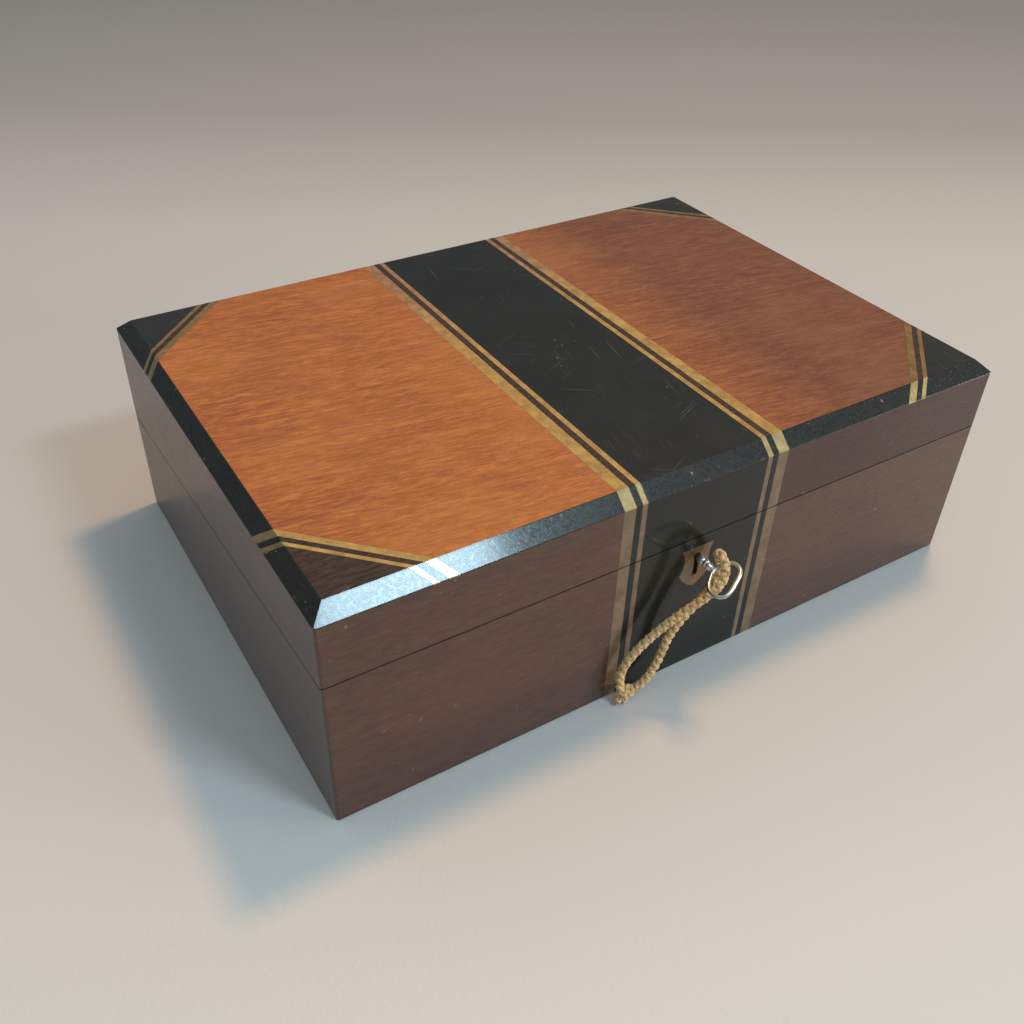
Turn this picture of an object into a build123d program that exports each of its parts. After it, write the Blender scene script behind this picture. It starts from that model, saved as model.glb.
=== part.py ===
from build123d import *

import os
from math import atan, cos, degrees, pi, radians, sin, sqrt, tan

# Lap desk: a closed writing box that a slanted cut divides into a base and a lid.
# The lid turns over the back edge through half a turn and lies flat, so that the two
# cut faces make one sloping writing surface. Millimetres, +Z up, front face towards -Y.
# The origin is the middle of the underside of the box.

# Outside of the closed box
length = 350.0
depth = 244.0
height = 113.5
front_seam = 77.6
seam_gap = 0.5
corner_radius = 1.5
bottom_round = 1.2

# Boards
wall = 10.0
bottom_thickness = 6.0
bottom_lap = 5.0
top_thickness = 6.2
flap_thickness = 6.0

# Ebonised edging round the top, with its bevelled face
bevel_inset = 6.5
bevel_drop = 5.7
edging_string_depth = 1.2

# Inlay: a band across the middle, and a triangle on each corner of the top
inlay_depth = 1.0
band_field = 64.0
band_thin_string = 2.6
band_dark_line = 3.2
band_thick_string = 5.8
corner_field = 23.6
corner_thin_string = 2.0
corner_dark_line = 2.5
corner_thick_string = 3.4

# Pen tray and ink compartments along the front of the base
compartment_depth = 42.0
ink_compartment = 40.0
partition_thickness = 5.0
rail_thickness = 6.0
rail_rebate = 3.0
partition_drop = 3.0
tray_drop = 12.0
tray_thickness = 16.0
tray_cleat = 6.0
trough_width = 32.0
trough_depth = 9.0
trough_end = 14.0
trough_round = 7.5

# Inkwells
inkwell_side = 34.0
inkwell_height = 44.0
inkwell_corner = 5.0
inkwell_wall = 4.0
inkwell_cavity_radius = 12.0
neck_radius = 9.0
neck_bore = 6.0
neck_height = 5.0
cap_radius = 12.0
cap_height = 10.0
cap_clearance = 0.3

# Writing flaps, one under each cut face
flap_recess = 2.0
flap_side_gap = 0.6
flap_end_gap = 0.6
flap_seat_gap = 0.2
ledge_width = 8.0
ledge_height = 8.0
leather_thickness = 0.8
leather_border = 16.0
tab_width = 14.0
tab_length = 14.0
tab_thickness = 0.7

# Flap hinges
flap_hinge_spacing = 220.0
flap_hinge_length = 24.0
flap_knuckle_radius = 1.5
flap_pin_radius = 0.7
flap_leaf_thickness = 1.0
flap_leaf_reach = 8.0

# Lid hinges
hinge_spacing = 220.0
hinge_length = 38.0
hinge_offset = 0.3
knuckle_radius = 2.4
pin_radius = 1.2
leaf_thickness = 1.5
leaf_width = 9.0
running_clearance = 0.05
knuckle_gap = 0.3
knuckle_count = 5
flap_knuckle_count = 3

# Box lock in the front wall of the base
key_drop = 11.3
lock_length = 52.0
lock_depth = 6.4
lock_below_key = 13.0
lock_plate = 1.0
selvedge_length = 62.0
selvedge_width = 7.0
selvedge_thickness = 1.5
mortise_gap = 0.1
bolt_thickness = 2.2
bolt_foot = 3.2
bolt_top = 8.5
bolt_throw = 4.2
bolt_end = 3.0
talon_left = 2.8
talon_right = 7.2
talon_top = 6.9
hook_spacing = 30.0
hook_width = 3.2
hook_foot_low = 4.9
hook_foot_high = 6.1
hook_leg = 1.0
hook_clearance = 0.3
tongue_low = 6.4
tongue_high = 8.2
drill_pin_radius = 0.75

# Key
key_angle = 21.6
key_shank_radius = 1.5
key_collar_radius = 2.1
key_ridge_radius = 1.9
key_collar_reach = 3.2
key_ridge_reaches = (6.1, 8.0)
key_shoulder_reach = 10.4
key_wire_radius = 1.0
key_wire_sides = 12
# corners of the bow's outline, across and outwards from the shoulder, with their radii
key_bow_corners = ((0.0, 0.0), (8.4, 0.6), (9.2, 8.8), (-8.9, 16.2), (-7.0, 3.8))
key_bow_radii = (6.0, 3.4, 4.0, 3.2, 4.0)
key_bit_thickness = 1.8
key_bit_short = 6.5
key_bit_long = 8.2

# Keyhole and its inlaid escutcheon
keyhole_radius = 1.9
keyhole_slot_width = 2.6
keyhole_slot_drop = 10.6
escutcheon_width = 17.6
escutcheon_waist = 13.6
escutcheon_top = 5.4
escutcheon_shoulder = -8.0
escutcheon_point = -17.0

# Braided cord through the bow of the key
cord_radius = 2.3
cord_sides = 10
knot_radius = 5.4
knot_rounding = 0.9
tail_radius = 1.9
tail_length = 7.5

# The slanted cut. The hinge edge is at half the height, so the open lid lies level.
back_seam = height / 2
seam_slope = degrees(atan((front_seam - back_seam) / depth))
seam_normal = (0, sin(radians(seam_slope)), cos(radians(seam_slope)))
front_face = -depth / 2
back_face = depth / 2
inner_front = front_face + wall
inner_back = back_face - wall
inner_half = length / 2 - wall
rail_front = inner_front + compartment_depth
rail_back = rail_front + rail_thickness
key_height = front_seam - key_drop


def slope_z(y, above=0.0):
    """Height of the slanted cut at a depth y, or of a plane that far above it."""
    return back_seam + (back_face - y) * tan(radians(seam_slope)) + above


def slope_plane(above):
    """Plane parallel to the slanted cut, a vertical distance above it."""
    origin = (0, back_face, back_seam + above)
    return Plane(origin=origin, x_dir=(1, 0, 0), z_dir=seam_normal)


base_rim = slope_plane(-seam_gap / 2)
lid_rim = slope_plane(seam_gap / 2)

SIDES = ("front", "right", "back", "left")


def side_size(side):
    """Length of a side, and how far the box reaches behind it."""
    return (length, depth) if side in ("front", "back") else (depth, length)


def side_plane(side):
    """Plane at the foot of a side: x runs along it, y points into the box."""
    origins = {
        "front": (0, front_face, 0),
        "right": (length / 2, 0, 0),
        "back": (0, back_face, 0),
        "left": (-length / 2, 0, 0),
    }
    directions = {"front": (1, 0, 0), "right": (0, 1, 0), "back": (-1, 0, 0), "left": (0, -1, 0)}
    return Plane(origin=origins[side], x_dir=directions[side], z_dir=(0, 0, 1))


def mitred_strip(side, outer, inner):
    """Plan of a strip with mitred ends, between two distances in from the side's face."""
    half = side_size(side)[0] / 2
    Polygon(
        (-half + outer, outer),
        (half - outer, outer),
        (half - inner, inner),
        (-half + inner, inner),
        align=None,
    )


def slope_strip(y_front, y_back, low, high):
    """Section of a board that lies along the slope, between two heights above the cut."""
    Polygon(
        (y_front, slope_z(y_front, low)),
        (y_back, slope_z(y_back, low)),
        (y_back, slope_z(y_back, high)),
        (y_front, slope_z(y_front, high)),
        align=None,
    )


def box_strip(y_front, y_back, low, high):
    """Rectangle in a depth and height section."""
    Polygon((y_front, low), (y_back, low), (y_back, high), (y_front, high), align=None)


with BuildPart() as outer_form:
    with BuildSketch():
        RectangleRounded(length, depth, corner_radius)
    extrude(amount=height)
    fillet(outer_form.faces().sort_by(Axis.Z)[0].edges(), bottom_round)


# Lid hinge

# The axis runs just outside the back face, at the height of the cut.
hinge_y = back_face + hinge_offset
hinge_z = back_seam
hinge_xs = (-hinge_spacing / 2, hinge_spacing / 2)
leaf_front = hinge_y - leaf_width


def knuckle_middles(total, count, parity):
    """Middles of every second knuckle along a hinge of that length."""
    pitch = total / count
    return [(i + 0.5) * pitch - total / 2 for i in range(count) if i % 2 == parity]


def along_axis(middles, y, z):
    """Places for cylinders that lie along X."""
    return [Location((x, y, z), (0, 90, 0)) for x in middles]


def hinge_mortises():
    """Cuts the beds of the lid hinge's leaves and knuckles into a back wall."""
    bed = seam_gap / 2 + leaf_thickness
    reach = hinge_length / 2 + mortise_gap
    for x in hinge_xs:
        with BuildSketch(Plane.YZ.offset(x - reach)) as outline:
            slope_strip(leaf_front - mortise_gap, hinge_y, -bed, bed)
        extrude(outline.sketch, amount=2 * reach, mode=Mode.SUBTRACT)
    with Locations(*along_axis(hinge_xs, hinge_y, hinge_z)):
        Cylinder(knuckle_radius + knuckle_gap, 2 * reach, mode=Mode.SUBTRACT)


def hinge_leaves(low, high, parity):
    """Both hinges' leaves of one side, each with every second knuckle."""
    pitch = hinge_length / knuckle_count
    own = knuckle_middles(hinge_length, knuckle_count, parity)
    others = knuckle_middles(hinge_length, knuckle_count, 1 - parity)
    for x in hinge_xs:
        with BuildSketch(Plane.YZ.offset(x - hinge_length / 2)) as outline:
            slope_strip(leaf_front, hinge_y, low, high)
        extrude(outline.sketch, amount=hinge_length)
        with Locations(*along_axis([x + middle for middle in own], hinge_y, hinge_z)):
            Cylinder(knuckle_radius, pitch - knuckle_gap)
        with Locations(*along_axis([x + middle for middle in others], hinge_y, hinge_z)):
            Cylinder(knuckle_radius + knuckle_gap, pitch + knuckle_gap, mode=Mode.SUBTRACT)
        with Locations(*along_axis([x], hinge_y, hinge_z)):
            Cylinder(pin_radius + running_clearance, hinge_length, mode=Mode.SUBTRACT)


with BuildPart() as hinge_base_leaves:
    hinge_leaves(-seam_gap / 2 - leaf_thickness, -seam_gap / 2, 0)

with BuildPart() as hinge_lid_leaves:
    hinge_leaves(seam_gap / 2, seam_gap / 2 + leaf_thickness, 1)

with BuildPart() as hinge_pins:
    with Locations(*along_axis(hinge_xs, hinge_y, hinge_z)):
        Cylinder(pin_radius, hinge_length)


# Hinges of the two writing flaps, at the back of each half

flap_drop = seam_gap / 2 + flap_recess
flap_hinge_y = inner_back - flap_knuckle_radius
flap_hinge_xs = (-flap_hinge_spacing / 2, flap_hinge_spacing / 2)


def flap_hinge_z(up):
    """Height of a flap's hinge axis: at the flap's face, above or below the cut."""
    return slope_z(flap_hinge_y, up * flap_drop)


def flap_wall_mortises(up):
    """Beds of the flap hinges' upright leaves in a back wall's inner face."""
    z = flap_hinge_z(up)
    reach = flap_hinge_length / 2
    ends = sorted((z, z + up * (flap_leaf_reach + mortise_gap)))
    for x in flap_hinge_xs:
        with BuildSketch(Plane.YZ.offset(x - reach - mortise_gap)) as outline:
            box_strip(inner_back, inner_back + flap_leaf_thickness, *ends)
        extrude(outline.sketch, amount=2 * (reach + mortise_gap), mode=Mode.SUBTRACT)


def flap_wall_leaves(up):
    """Upright leaves let into the back wall, with the two outer knuckles each."""
    z = flap_hinge_z(up)
    pitch = flap_hinge_length / flap_knuckle_count
    own = knuckle_middles(flap_hinge_length, flap_knuckle_count, 0)
    ends = sorted((z, z + up * flap_leaf_reach))
    neck = sorted((z, z + up * flap_leaf_thickness))
    for x in flap_hinge_xs:
        with BuildSketch(Plane.YZ.offset(x - flap_hinge_length / 2)) as outline:
            box_strip(inner_back, inner_back + flap_leaf_thickness, *ends)
            box_strip(flap_hinge_y, inner_back + flap_leaf_thickness, *neck)
        extrude(outline.sketch, amount=flap_hinge_length)
        with Locations(*along_axis([x + middle for middle in own], flap_hinge_y, z)):
            Cylinder(flap_knuckle_radius, pitch - knuckle_gap)
        with Locations(*along_axis([x], flap_hinge_y, z)):
            Cylinder(flap_knuckle_radius + knuckle_gap, pitch + knuckle_gap, mode=Mode.SUBTRACT)
            Cylinder(flap_pin_radius + running_clearance, flap_hinge_length, mode=Mode.SUBTRACT)


def flap_board_leaves(up):
    """Leaves let into the flap's face, with the middle knuckle each."""
    z = flap_hinge_z(up)
    pitch = flap_hinge_length / flap_knuckle_count
    others = knuckle_middles(flap_hinge_length, flap_knuckle_count, 0)
    ends = sorted((up * flap_drop, up * (flap_drop + flap_leaf_thickness)))
    for x in flap_hinge_xs:
        with BuildSketch(Plane.YZ.offset(x - flap_hinge_length / 2)) as outline:
            slope_strip(flap_hinge_y - flap_leaf_reach, flap_hinge_y, *ends)
        extrude(outline.sketch, amount=flap_hinge_length)
        with Locations(*along_axis([x], flap_hinge_y, z)):
            Cylinder(flap_knuckle_radius, pitch - knuckle_gap)
        with Locations(*along_axis([x + middle for middle in others], flap_hinge_y, z)):
            Cylinder(flap_knuckle_radius + knuckle_gap, pitch + knuckle_gap, mode=Mode.SUBTRACT)
        with Locations(*along_axis([x], flap_hinge_y, z)):
            Cylinder(flap_pin_radius + running_clearance, flap_hinge_length, mode=Mode.SUBTRACT)


def flap_pins(up):
    with Locations(*along_axis(flap_hinge_xs, flap_hinge_y, flap_hinge_z(up))):
        Cylinder(flap_pin_radius, flap_hinge_length)


with BuildPart() as base_flap_wall_leaves:
    flap_wall_leaves(-1)

with BuildPart() as base_flap_board_leaves:
    flap_board_leaves(-1)

with BuildPart() as base_flap_pins:
    flap_pins(-1)

with BuildPart() as lid_flap_wall_leaves:
    flap_wall_leaves(1)

with BuildPart() as lid_flap_board_leaves:
    flap_board_leaves(1)

with BuildPart() as lid_flap_pins:
    flap_pins(1)


# Writing flaps: a board with a leather panel let into the face that is written on

def flap_board(up, y_front):
    """Board of a flap, with room for its leather and its hinges."""
    half = inner_half - flap_side_gap
    section = sorted((up * flap_drop, up * (flap_drop + flap_thickness)))
    bed = sorted((up * flap_drop, up * (flap_drop + leather_thickness)))
    leaf_bed = sorted((up * flap_drop, up * (flap_drop + flap_leaf_thickness)))
    with BuildSketch(Plane.YZ) as outline:
        slope_strip(y_front, flap_hinge_y, *section)
    extrude(outline.sketch, amount=half, both=True)
    with BuildSketch(Plane.YZ) as panel:
        slope_strip(y_front + leather_border, flap_hinge_y - leather_border, *bed)
    extrude(panel.sketch, amount=half - leather_border, both=True, mode=Mode.SUBTRACT)
    reach = flap_hinge_length / 2 + mortise_gap
    for x in flap_hinge_xs:
        with BuildSketch(Plane.YZ.offset(x - reach)) as leaf:
            slope_strip(flap_hinge_y - flap_leaf_reach - mortise_gap, flap_hinge_y, *leaf_bed)
        extrude(leaf.sketch, amount=2 * reach, mode=Mode.SUBTRACT)
    with Locations(*along_axis(flap_hinge_xs, flap_hinge_y, flap_hinge_z(up))):
        Cylinder(flap_knuckle_radius + knuckle_gap, 2 * reach, mode=Mode.SUBTRACT)


def flap_leather(up, y_front):
    """Leather panel, flush with the board's border."""
    section = sorted((up * flap_drop, up * (flap_drop + leather_thickness)))
    with BuildSketch(Plane.YZ) as outline:
        slope_strip(y_front + leather_border, flap_hinge_y - leather_border, *section)
    extrude(outline.sketch, amount=inner_half - flap_side_gap - leather_border, both=True)


def flap_tab(up, y_front):
    """Pull tab on the border, at the middle of the free edge."""
    section = sorted((up * flap_drop, up * (flap_drop - tab_thickness)))
    with BuildSketch(Plane.YZ) as outline:
        slope_strip(y_front, y_front + tab_length, *section)
    extrude(outline.sketch, amount=tab_width / 2, both=True)


base_flap_front = rail_front + rail_rebate + flap_end_gap
lid_flap_front = inner_front + flap_end_gap

with BuildPart() as base_flap_board:
    flap_board(-1, base_flap_front)

with BuildPart() as base_flap_leather:
    flap_leather(-1, base_flap_front)

with BuildPart() as base_flap_tab:
    flap_tab(-1, base_flap_front)

with BuildPart() as lid_flap_board:
    flap_board(1, lid_flap_front)

with BuildPart() as lid_flap_leather:
    flap_leather(1, lid_flap_front)

with BuildPart() as lid_flap_tab:
    flap_tab(1, lid_flap_front)


def flap_ledges(up, y_front):
    """Ledges on the two end walls, under the sides of a flap."""
    near = flap_drop + flap_thickness + flap_seat_gap
    section = sorted((up * near, up * (near + ledge_height)))
    for x in (-inner_half, inner_half - ledge_width):
        with BuildSketch(Plane.YZ.offset(x)) as outline:
            slope_strip(y_front, inner_back, *section)
        extrude(outline.sketch, amount=ledge_width)


with BuildPart() as base_ledges:
    flap_ledges(-1, rail_back)

with BuildPart() as lid_ledges:
    flap_ledges(1, inner_front)


# Box lock, let into the inner face of the front wall

lock_front = inner_front - lock_depth
lock_low = key_height - lock_below_key
cavity_front = lock_front + lock_plate
cover_front = inner_front - lock_plate
cavity_half = lock_length / 2 - lock_plate
selvedge_under = slope_plane(-seam_gap / 2 - selvedge_thickness)
bolt_front = cavity_front + hook_clearance
bolt_back = bolt_front + bolt_thickness
leg_front = bolt_back + hook_clearance
leg_back = leg_front + hook_leg
hook_xs = (-hook_spacing / 2, hook_spacing / 2)
tongue_tip = hook_width / 2 + hook_clearance
slot_right = tongue_tip + bolt_throw
slot_left = -hook_width / 2 - hook_clearance
bolt_right = hook_xs[1] + slot_right + bolt_end
bolt_left = hook_xs[0] + slot_left - bolt_end


def front_plane(y):
    """Upright plane at a depth y, seen from the front, with its zero at the key's axis."""
    return Plane(origin=(0, y, key_height), x_dir=(1, 0, 0), z_dir=(0, -1, 0))


def keyhole_outline():
    Circle(keyhole_radius)
    with Locations((0, -keyhole_slot_drop / 2)):
        Rectangle(keyhole_slot_width, keyhole_slot_drop)


def selvedge_slab(widen):
    """Plate across the rim, between the rim and the lock's top."""
    with BuildSketch(Plane.YZ) as outline:
        slope_strip(
            inner_front - selvedge_width - widen,
            inner_front,
            -seam_gap / 2 - selvedge_thickness,
            -seam_gap / 2,
        )
    return outline.sketch


with BuildPart() as lock_case:
    with BuildSketch(Plane.XY.offset(lock_low)):
        with Locations((0, (lock_front + inner_front) / 2)):
            Rectangle(lock_length, lock_depth)
    extrude(amount=front_seam - lock_low)
    split(bisect_by=selvedge_under, keep=Keep.BOTTOM)
    # cavity, open to the inside of the box
    with BuildSketch(Plane.XY.offset(lock_low + lock_plate)):
        with Locations((0, (cavity_front + inner_front) / 2)):
            Rectangle(2 * cavity_half, inner_front - cavity_front)
    extrude(amount=front_seam - lock_low, mode=Mode.SUBTRACT)
    # guides under the bolt, left and right of the key
    with BuildSketch(front_plane(cavity_front)):
        for x in (-cavity_half, cavity_half):
            guide = cavity_half - key_bit_long - lock_plate
            with Locations((x * (1 - guide / 2 / cavity_half), bolt_foot - mortise_gap - lock_plate)):
                Rectangle(guide, 2 * lock_plate, align=(Align.CENTER, Align.CENTER))
    extrude(amount=-(bolt_back - cavity_front))
    # selvedge along the rim, with a slot for each hook
    extrude(selvedge_slab(0), amount=selvedge_length / 2, both=True)
    with BuildSketch(Plane.XY.offset(key_height + bolt_top)):
        for x in hook_xs:
            with Locations((x, (cavity_front + leg_back) / 2)):
                Rectangle(hook_width + 4 * hook_clearance, leg_back - cavity_front + 2 * hook_clearance)
    extrude(amount=front_seam - key_height, mode=Mode.SUBTRACT)
    with BuildSketch(front_plane(lock_front)):
        keyhole_outline()
    extrude(amount=-lock_plate, mode=Mode.SUBTRACT)

with BuildPart() as lock_cover:
    with BuildSketch(Plane.XY.offset(lock_low + lock_plate)):
        with Locations((0, (cover_front + inner_front) / 2)):
            Rectangle(2 * cavity_half, lock_plate)
    extrude(amount=front_seam - lock_low)
    split(bisect_by=selvedge_under, keep=Keep.BOTTOM)
    # drill pin, which the hollow shank of the key turns on
    with BuildSketch(front_plane(cover_front)):
        Circle(drill_pin_radius)
    extrude(amount=cover_front - cavity_front)

with BuildPart() as lock_bolt:
    with BuildSketch(front_plane(bolt_front)):
        with Locations(((bolt_left + bolt_right) / 2, (bolt_foot + bolt_top) / 2)):
            Rectangle(bolt_right - bolt_left, bolt_top - bolt_foot)
        for x in hook_xs:
            slot_foot = hook_foot_low - hook_clearance
            with Locations((x + (slot_left + slot_right) / 2, (slot_foot + bolt_top) / 2)):
                Rectangle(slot_right - slot_left, bolt_top - slot_foot, mode=Mode.SUBTRACT)
            with Locations((x + (tongue_tip + slot_right) / 2, (tongue_low + tongue_high) / 2)):
                Rectangle(slot_right - tongue_tip, tongue_high - tongue_low)
        with Locations(((talon_left + talon_right) / 2, (bolt_foot + talon_top) / 2)):
            Rectangle(talon_right - talon_left, talon_top - bolt_foot, mode=Mode.SUBTRACT)
    extrude(amount=-bolt_thickness)

with BuildPart() as link_plate:
    with BuildSketch(Plane.YZ):
        slope_strip(
            inner_front - selvedge_width,
            inner_front,
            seam_gap / 2,
            seam_gap / 2 + selvedge_thickness,
        )
    extrude(amount=selvedge_length / 2, both=True)
    # hooks that hang through the selvedge, each with a foot in front of its leg
    for x in hook_xs:
        with BuildSketch(Plane.YZ.offset(x - hook_width / 2)):
            Polygon(
                (leg_front, key_height + hook_foot_low),
                (leg_back, key_height + hook_foot_low),
                (leg_back, slope_z(leg_back, seam_gap)),
                (leg_front, slope_z(leg_front, seam_gap)),
                align=None,
            )
            foot_front = bolt_front + mortise_gap
            foot_low = key_height + hook_foot_low
            box_strip(foot_front, leg_back, foot_low, key_height + hook_foot_high)
        extrude(amount=hook_width)


# Walls and boards

def wall_blank(side, top):
    """Upright board with mitred ends, cut to the rounded outside of the box."""
    with BuildSketch(side_plane(side)) as plan:
        mitred_strip(side, 0, wall)
    extrude(plan.sketch, amount=top)
    add(outer_form.part, mode=Mode.INTERSECT)


def base_wall(side):
    """Wall of the base, with the rebate that takes the bottom board."""
    wall_blank(side, height)
    split(bisect_by=base_rim, keep=Keep.BOTTOM)
    with BuildSketch() as board:
        Rectangle(length - 2 * bottom_lap, depth - 2 * bottom_lap)
    extrude(board.sketch, amount=bottom_thickness, mode=Mode.SUBTRACT)


def lid_wall(side):
    """Wall of the lid, up to the underside of the top board and its edging."""
    wall_blank(side, height - top_thickness)
    split(bisect_by=lid_rim, keep=Keep.TOP)


band_half = band_field / 2 + band_thin_string + band_dark_line + band_thick_string


def front_band_bed():
    """Bed for the inlaid band in a front wall."""
    with BuildSketch() as bed:
        with Locations((0, front_face + inlay_depth / 2)):
            Rectangle(2 * band_half, inlay_depth)
    extrude(bed.sketch, amount=height, mode=Mode.SUBTRACT)


with BuildPart() as base_front_wall:
    base_wall("front")
    front_band_bed()
    with BuildSketch(Plane.XY.offset(lock_low - mortise_gap)):
        with Locations((0, (lock_front - mortise_gap + inner_front) / 2)):
            Rectangle(lock_length + 2 * mortise_gap, lock_depth + mortise_gap)
    extrude(amount=height, mode=Mode.SUBTRACT)
    extrude(
        selvedge_slab(mortise_gap),
        amount=selvedge_length / 2 + mortise_gap,
        both=True,
        mode=Mode.SUBTRACT,
    )
    with BuildSketch(front_plane(front_face)):
        keyhole_outline()
    extrude(amount=-wall, mode=Mode.SUBTRACT)

with BuildPart() as base_right_wall:
    base_wall("right")

with BuildPart() as base_left_wall:
    base_wall("left")

with BuildPart() as base_back_wall:
    base_wall("back")
    hinge_mortises()
    flap_wall_mortises(-1)

with BuildPart() as bottom_board:
    with BuildSketch():
        Rectangle(length - 2 * bottom_lap, depth - 2 * bottom_lap)
    extrude(amount=bottom_thickness)

with BuildPart() as lid_front_wall:
    lid_wall("front")
    front_band_bed()
    with BuildSketch(Plane.YZ):
        slope_strip(
            inner_front - selvedge_width - mortise_gap,
            inner_front,
            seam_gap / 2,
            seam_gap / 2 + selvedge_thickness,
        )
    extrude(amount=selvedge_length / 2 + mortise_gap, both=True, mode=Mode.SUBTRACT)

with BuildPart() as lid_right_wall:
    lid_wall("right")

with BuildPart() as lid_left_wall:
    lid_wall("left")

with BuildPart() as lid_back_wall:
    lid_wall("back")
    hinge_mortises()
    flap_wall_mortises(1)


# Inlay, drawn in plan

top_length = length - 2 * bevel_inset
top_depth = depth - 2 * bevel_inset
corner_light_lines = (
    (corner_field, corner_field + corner_thin_string),
    (
        corner_field + corner_thin_string + corner_dark_line,
        corner_field + corner_thin_string + corner_dark_line + corner_thick_string,
    ),
)
corner_dark_start = corner_field + corner_thin_string
corner_end = corner_dark_start + corner_dark_line + corner_thick_string
corner_dark_lines = ((0, corner_field), (corner_dark_start, corner_dark_start + corner_dark_line))


def band_lines(inner, width, across, middle=0.0):
    """A pair of lines of the band, left and right of the middle."""
    offset = inner + width / 2
    with Locations((-offset, middle), (offset, middle)):
        Rectangle(width, across)


def band_light(across, middle=0.0):
    band_lines(band_field / 2, band_thin_string, across, middle)
    band_lines(band_half - band_thick_string, band_thick_string, across, middle)


def band_dark(across, middle=0.0):
    with Locations((0, middle)):
        Rectangle(band_field, across)
    band_lines(band_field / 2 + band_thin_string, band_dark_line, across, middle)


def corner_lines(lines):
    """Lines across the four corners, at distances from the corners of the flat top."""
    for right in (-1, 1):
        for back in (-1, 1):
            for near, far in lines:
                inward = (near + far) / 2 / sqrt(2)
                x = right * (top_length / 2 - inward)
                y = back * (top_depth / 2 - inward)
                with Locations(Location((x, y), 45 * right * back)):
                    Rectangle(far - near, 4 * corner_end)


def flat_top():
    Rectangle(top_length, top_depth, mode=Mode.INTERSECT)


with BuildPart() as top_band_ebony:
    with BuildSketch(Plane.XY.offset(height - inlay_depth)):
        band_dark(top_depth)
    extrude(amount=inlay_depth)

with BuildPart() as top_band_strings:
    with BuildSketch(Plane.XY.offset(height - inlay_depth)):
        band_light(top_depth)
    extrude(amount=inlay_depth)

with BuildPart() as corner_ebony:
    with BuildSketch(Plane.XY.offset(height - inlay_depth)):
        corner_lines(corner_dark_lines)
        flat_top()
    extrude(amount=inlay_depth)

with BuildPart() as corner_strings:
    with BuildSketch(Plane.XY.offset(height - inlay_depth)):
        corner_lines(corner_light_lines)
        flat_top()
    extrude(amount=inlay_depth)

with BuildPart() as top_board:
    with BuildSketch(Plane.XY.offset(height - top_thickness)):
        Rectangle(top_length, top_depth)
    extrude(amount=top_thickness)
    with BuildSketch(Plane.XY.offset(height - inlay_depth)):
        Rectangle(2 * band_half, top_depth)
        corner_lines([(0, corner_end)])
    extrude(amount=inlay_depth, mode=Mode.SUBTRACT)


# Edging of the top, with the light lines of the inlay carried down its bevel

def edging_form(side, skin):
    """Edging strip of one side, or its core with a skin taken off the bevelled face."""
    with BuildPart() as strip:
        with BuildSketch(side_plane(side).offset(height - top_thickness)) as plan:
            mitred_strip(side, skin, bevel_inset)
        extrude(amount=top_thickness)
        section = side_plane(side)
        upright = Plane(origin=section.origin, x_dir=section.y_dir, z_dir=section.x_dir)
        with BuildSketch(upright) as bevel:
            Polygon(
                (skin, height - bevel_drop),
                (skin, height),
                (skin + bevel_inset, height),
                align=None,
            )
        extrude(amount=length, both=True, mode=Mode.SUBTRACT)
        add(outer_form.part, mode=Mode.INTERSECT)
    return strip.part


with BuildPart() as edging_strings:
    for side in SIDES:
        add(edging_form(side, 0))
    for side in SIDES:
        add(edging_form(side, edging_string_depth), mode=Mode.SUBTRACT)
    with BuildSketch():
        band_light(depth)
        corner_lines(corner_light_lines)
    extrude(amount=height, mode=Mode.INTERSECT)

with BuildPart() as edging_front:
    add(edging_form("front", 0))
    add(edging_strings.part, mode=Mode.SUBTRACT)

with BuildPart() as edging_right:
    add(edging_form("right", 0))
    add(edging_strings.part, mode=Mode.SUBTRACT)

with BuildPart() as edging_back:
    add(edging_form("back", 0))
    add(edging_strings.part, mode=Mode.SUBTRACT)

with BuildPart() as edging_left:
    add(edging_form("left", 0))
    add(edging_strings.part, mode=Mode.SUBTRACT)


# Band and escutcheon on the front

# Shield with a drawn-in waist and a pointed foot, about the key's axis
with BuildSketch() as shield:
    half_shield = escutcheon_width / 2
    shield_waist = (escutcheon_top + escutcheon_shoulder) / 2
    with BuildLine():
        Line((0, escutcheon_top), (half_shield, escutcheon_top))
        flank_arc = ThreePointArc(
            (half_shield, escutcheon_top),
            (escutcheon_waist / 2, shield_waist),
            (half_shield, escutcheon_shoulder),
        )
        belly = (0.62 * half_shield, (escutcheon_shoulder + escutcheon_point) / 2 - 0.6)
        ThreePointArc(flank_arc @ 1, belly, (0, escutcheon_point))
        mirror(about=Plane.YZ)
    make_face()

with BuildPart() as escutcheon:
    with BuildSketch(front_plane(front_face)):
        add(shield.sketch)
        Circle(keyhole_radius, mode=Mode.SUBTRACT)
        with Locations((0, -keyhole_slot_drop / 2)):
            Rectangle(keyhole_slot_width, keyhole_slot_drop, mode=Mode.SUBTRACT)
    extrude(amount=-inlay_depth)

front_strip_middle = front_face + inlay_depth / 2


def base_front_inlay(sketch):
    extrude(sketch, amount=height)
    add(outer_form.part, mode=Mode.INTERSECT)
    split(bisect_by=base_rim, keep=Keep.BOTTOM)


with BuildSketch() as front_dark:
    band_dark(inlay_depth, front_strip_middle)

with BuildSketch() as front_light:
    band_light(inlay_depth, front_strip_middle)

with BuildPart() as base_band_ebony:
    base_front_inlay(front_dark.sketch)
    with BuildSketch(front_plane(front_face)):
        add(shield.sketch)
    extrude(amount=-inlay_depth, mode=Mode.SUBTRACT)

with BuildPart() as base_band_strings:
    base_front_inlay(front_light.sketch)

with BuildPart() as lid_band_ebony:
    extrude(front_dark.sketch, amount=height - top_thickness)
    split(bisect_by=lid_rim, keep=Keep.TOP)

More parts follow.
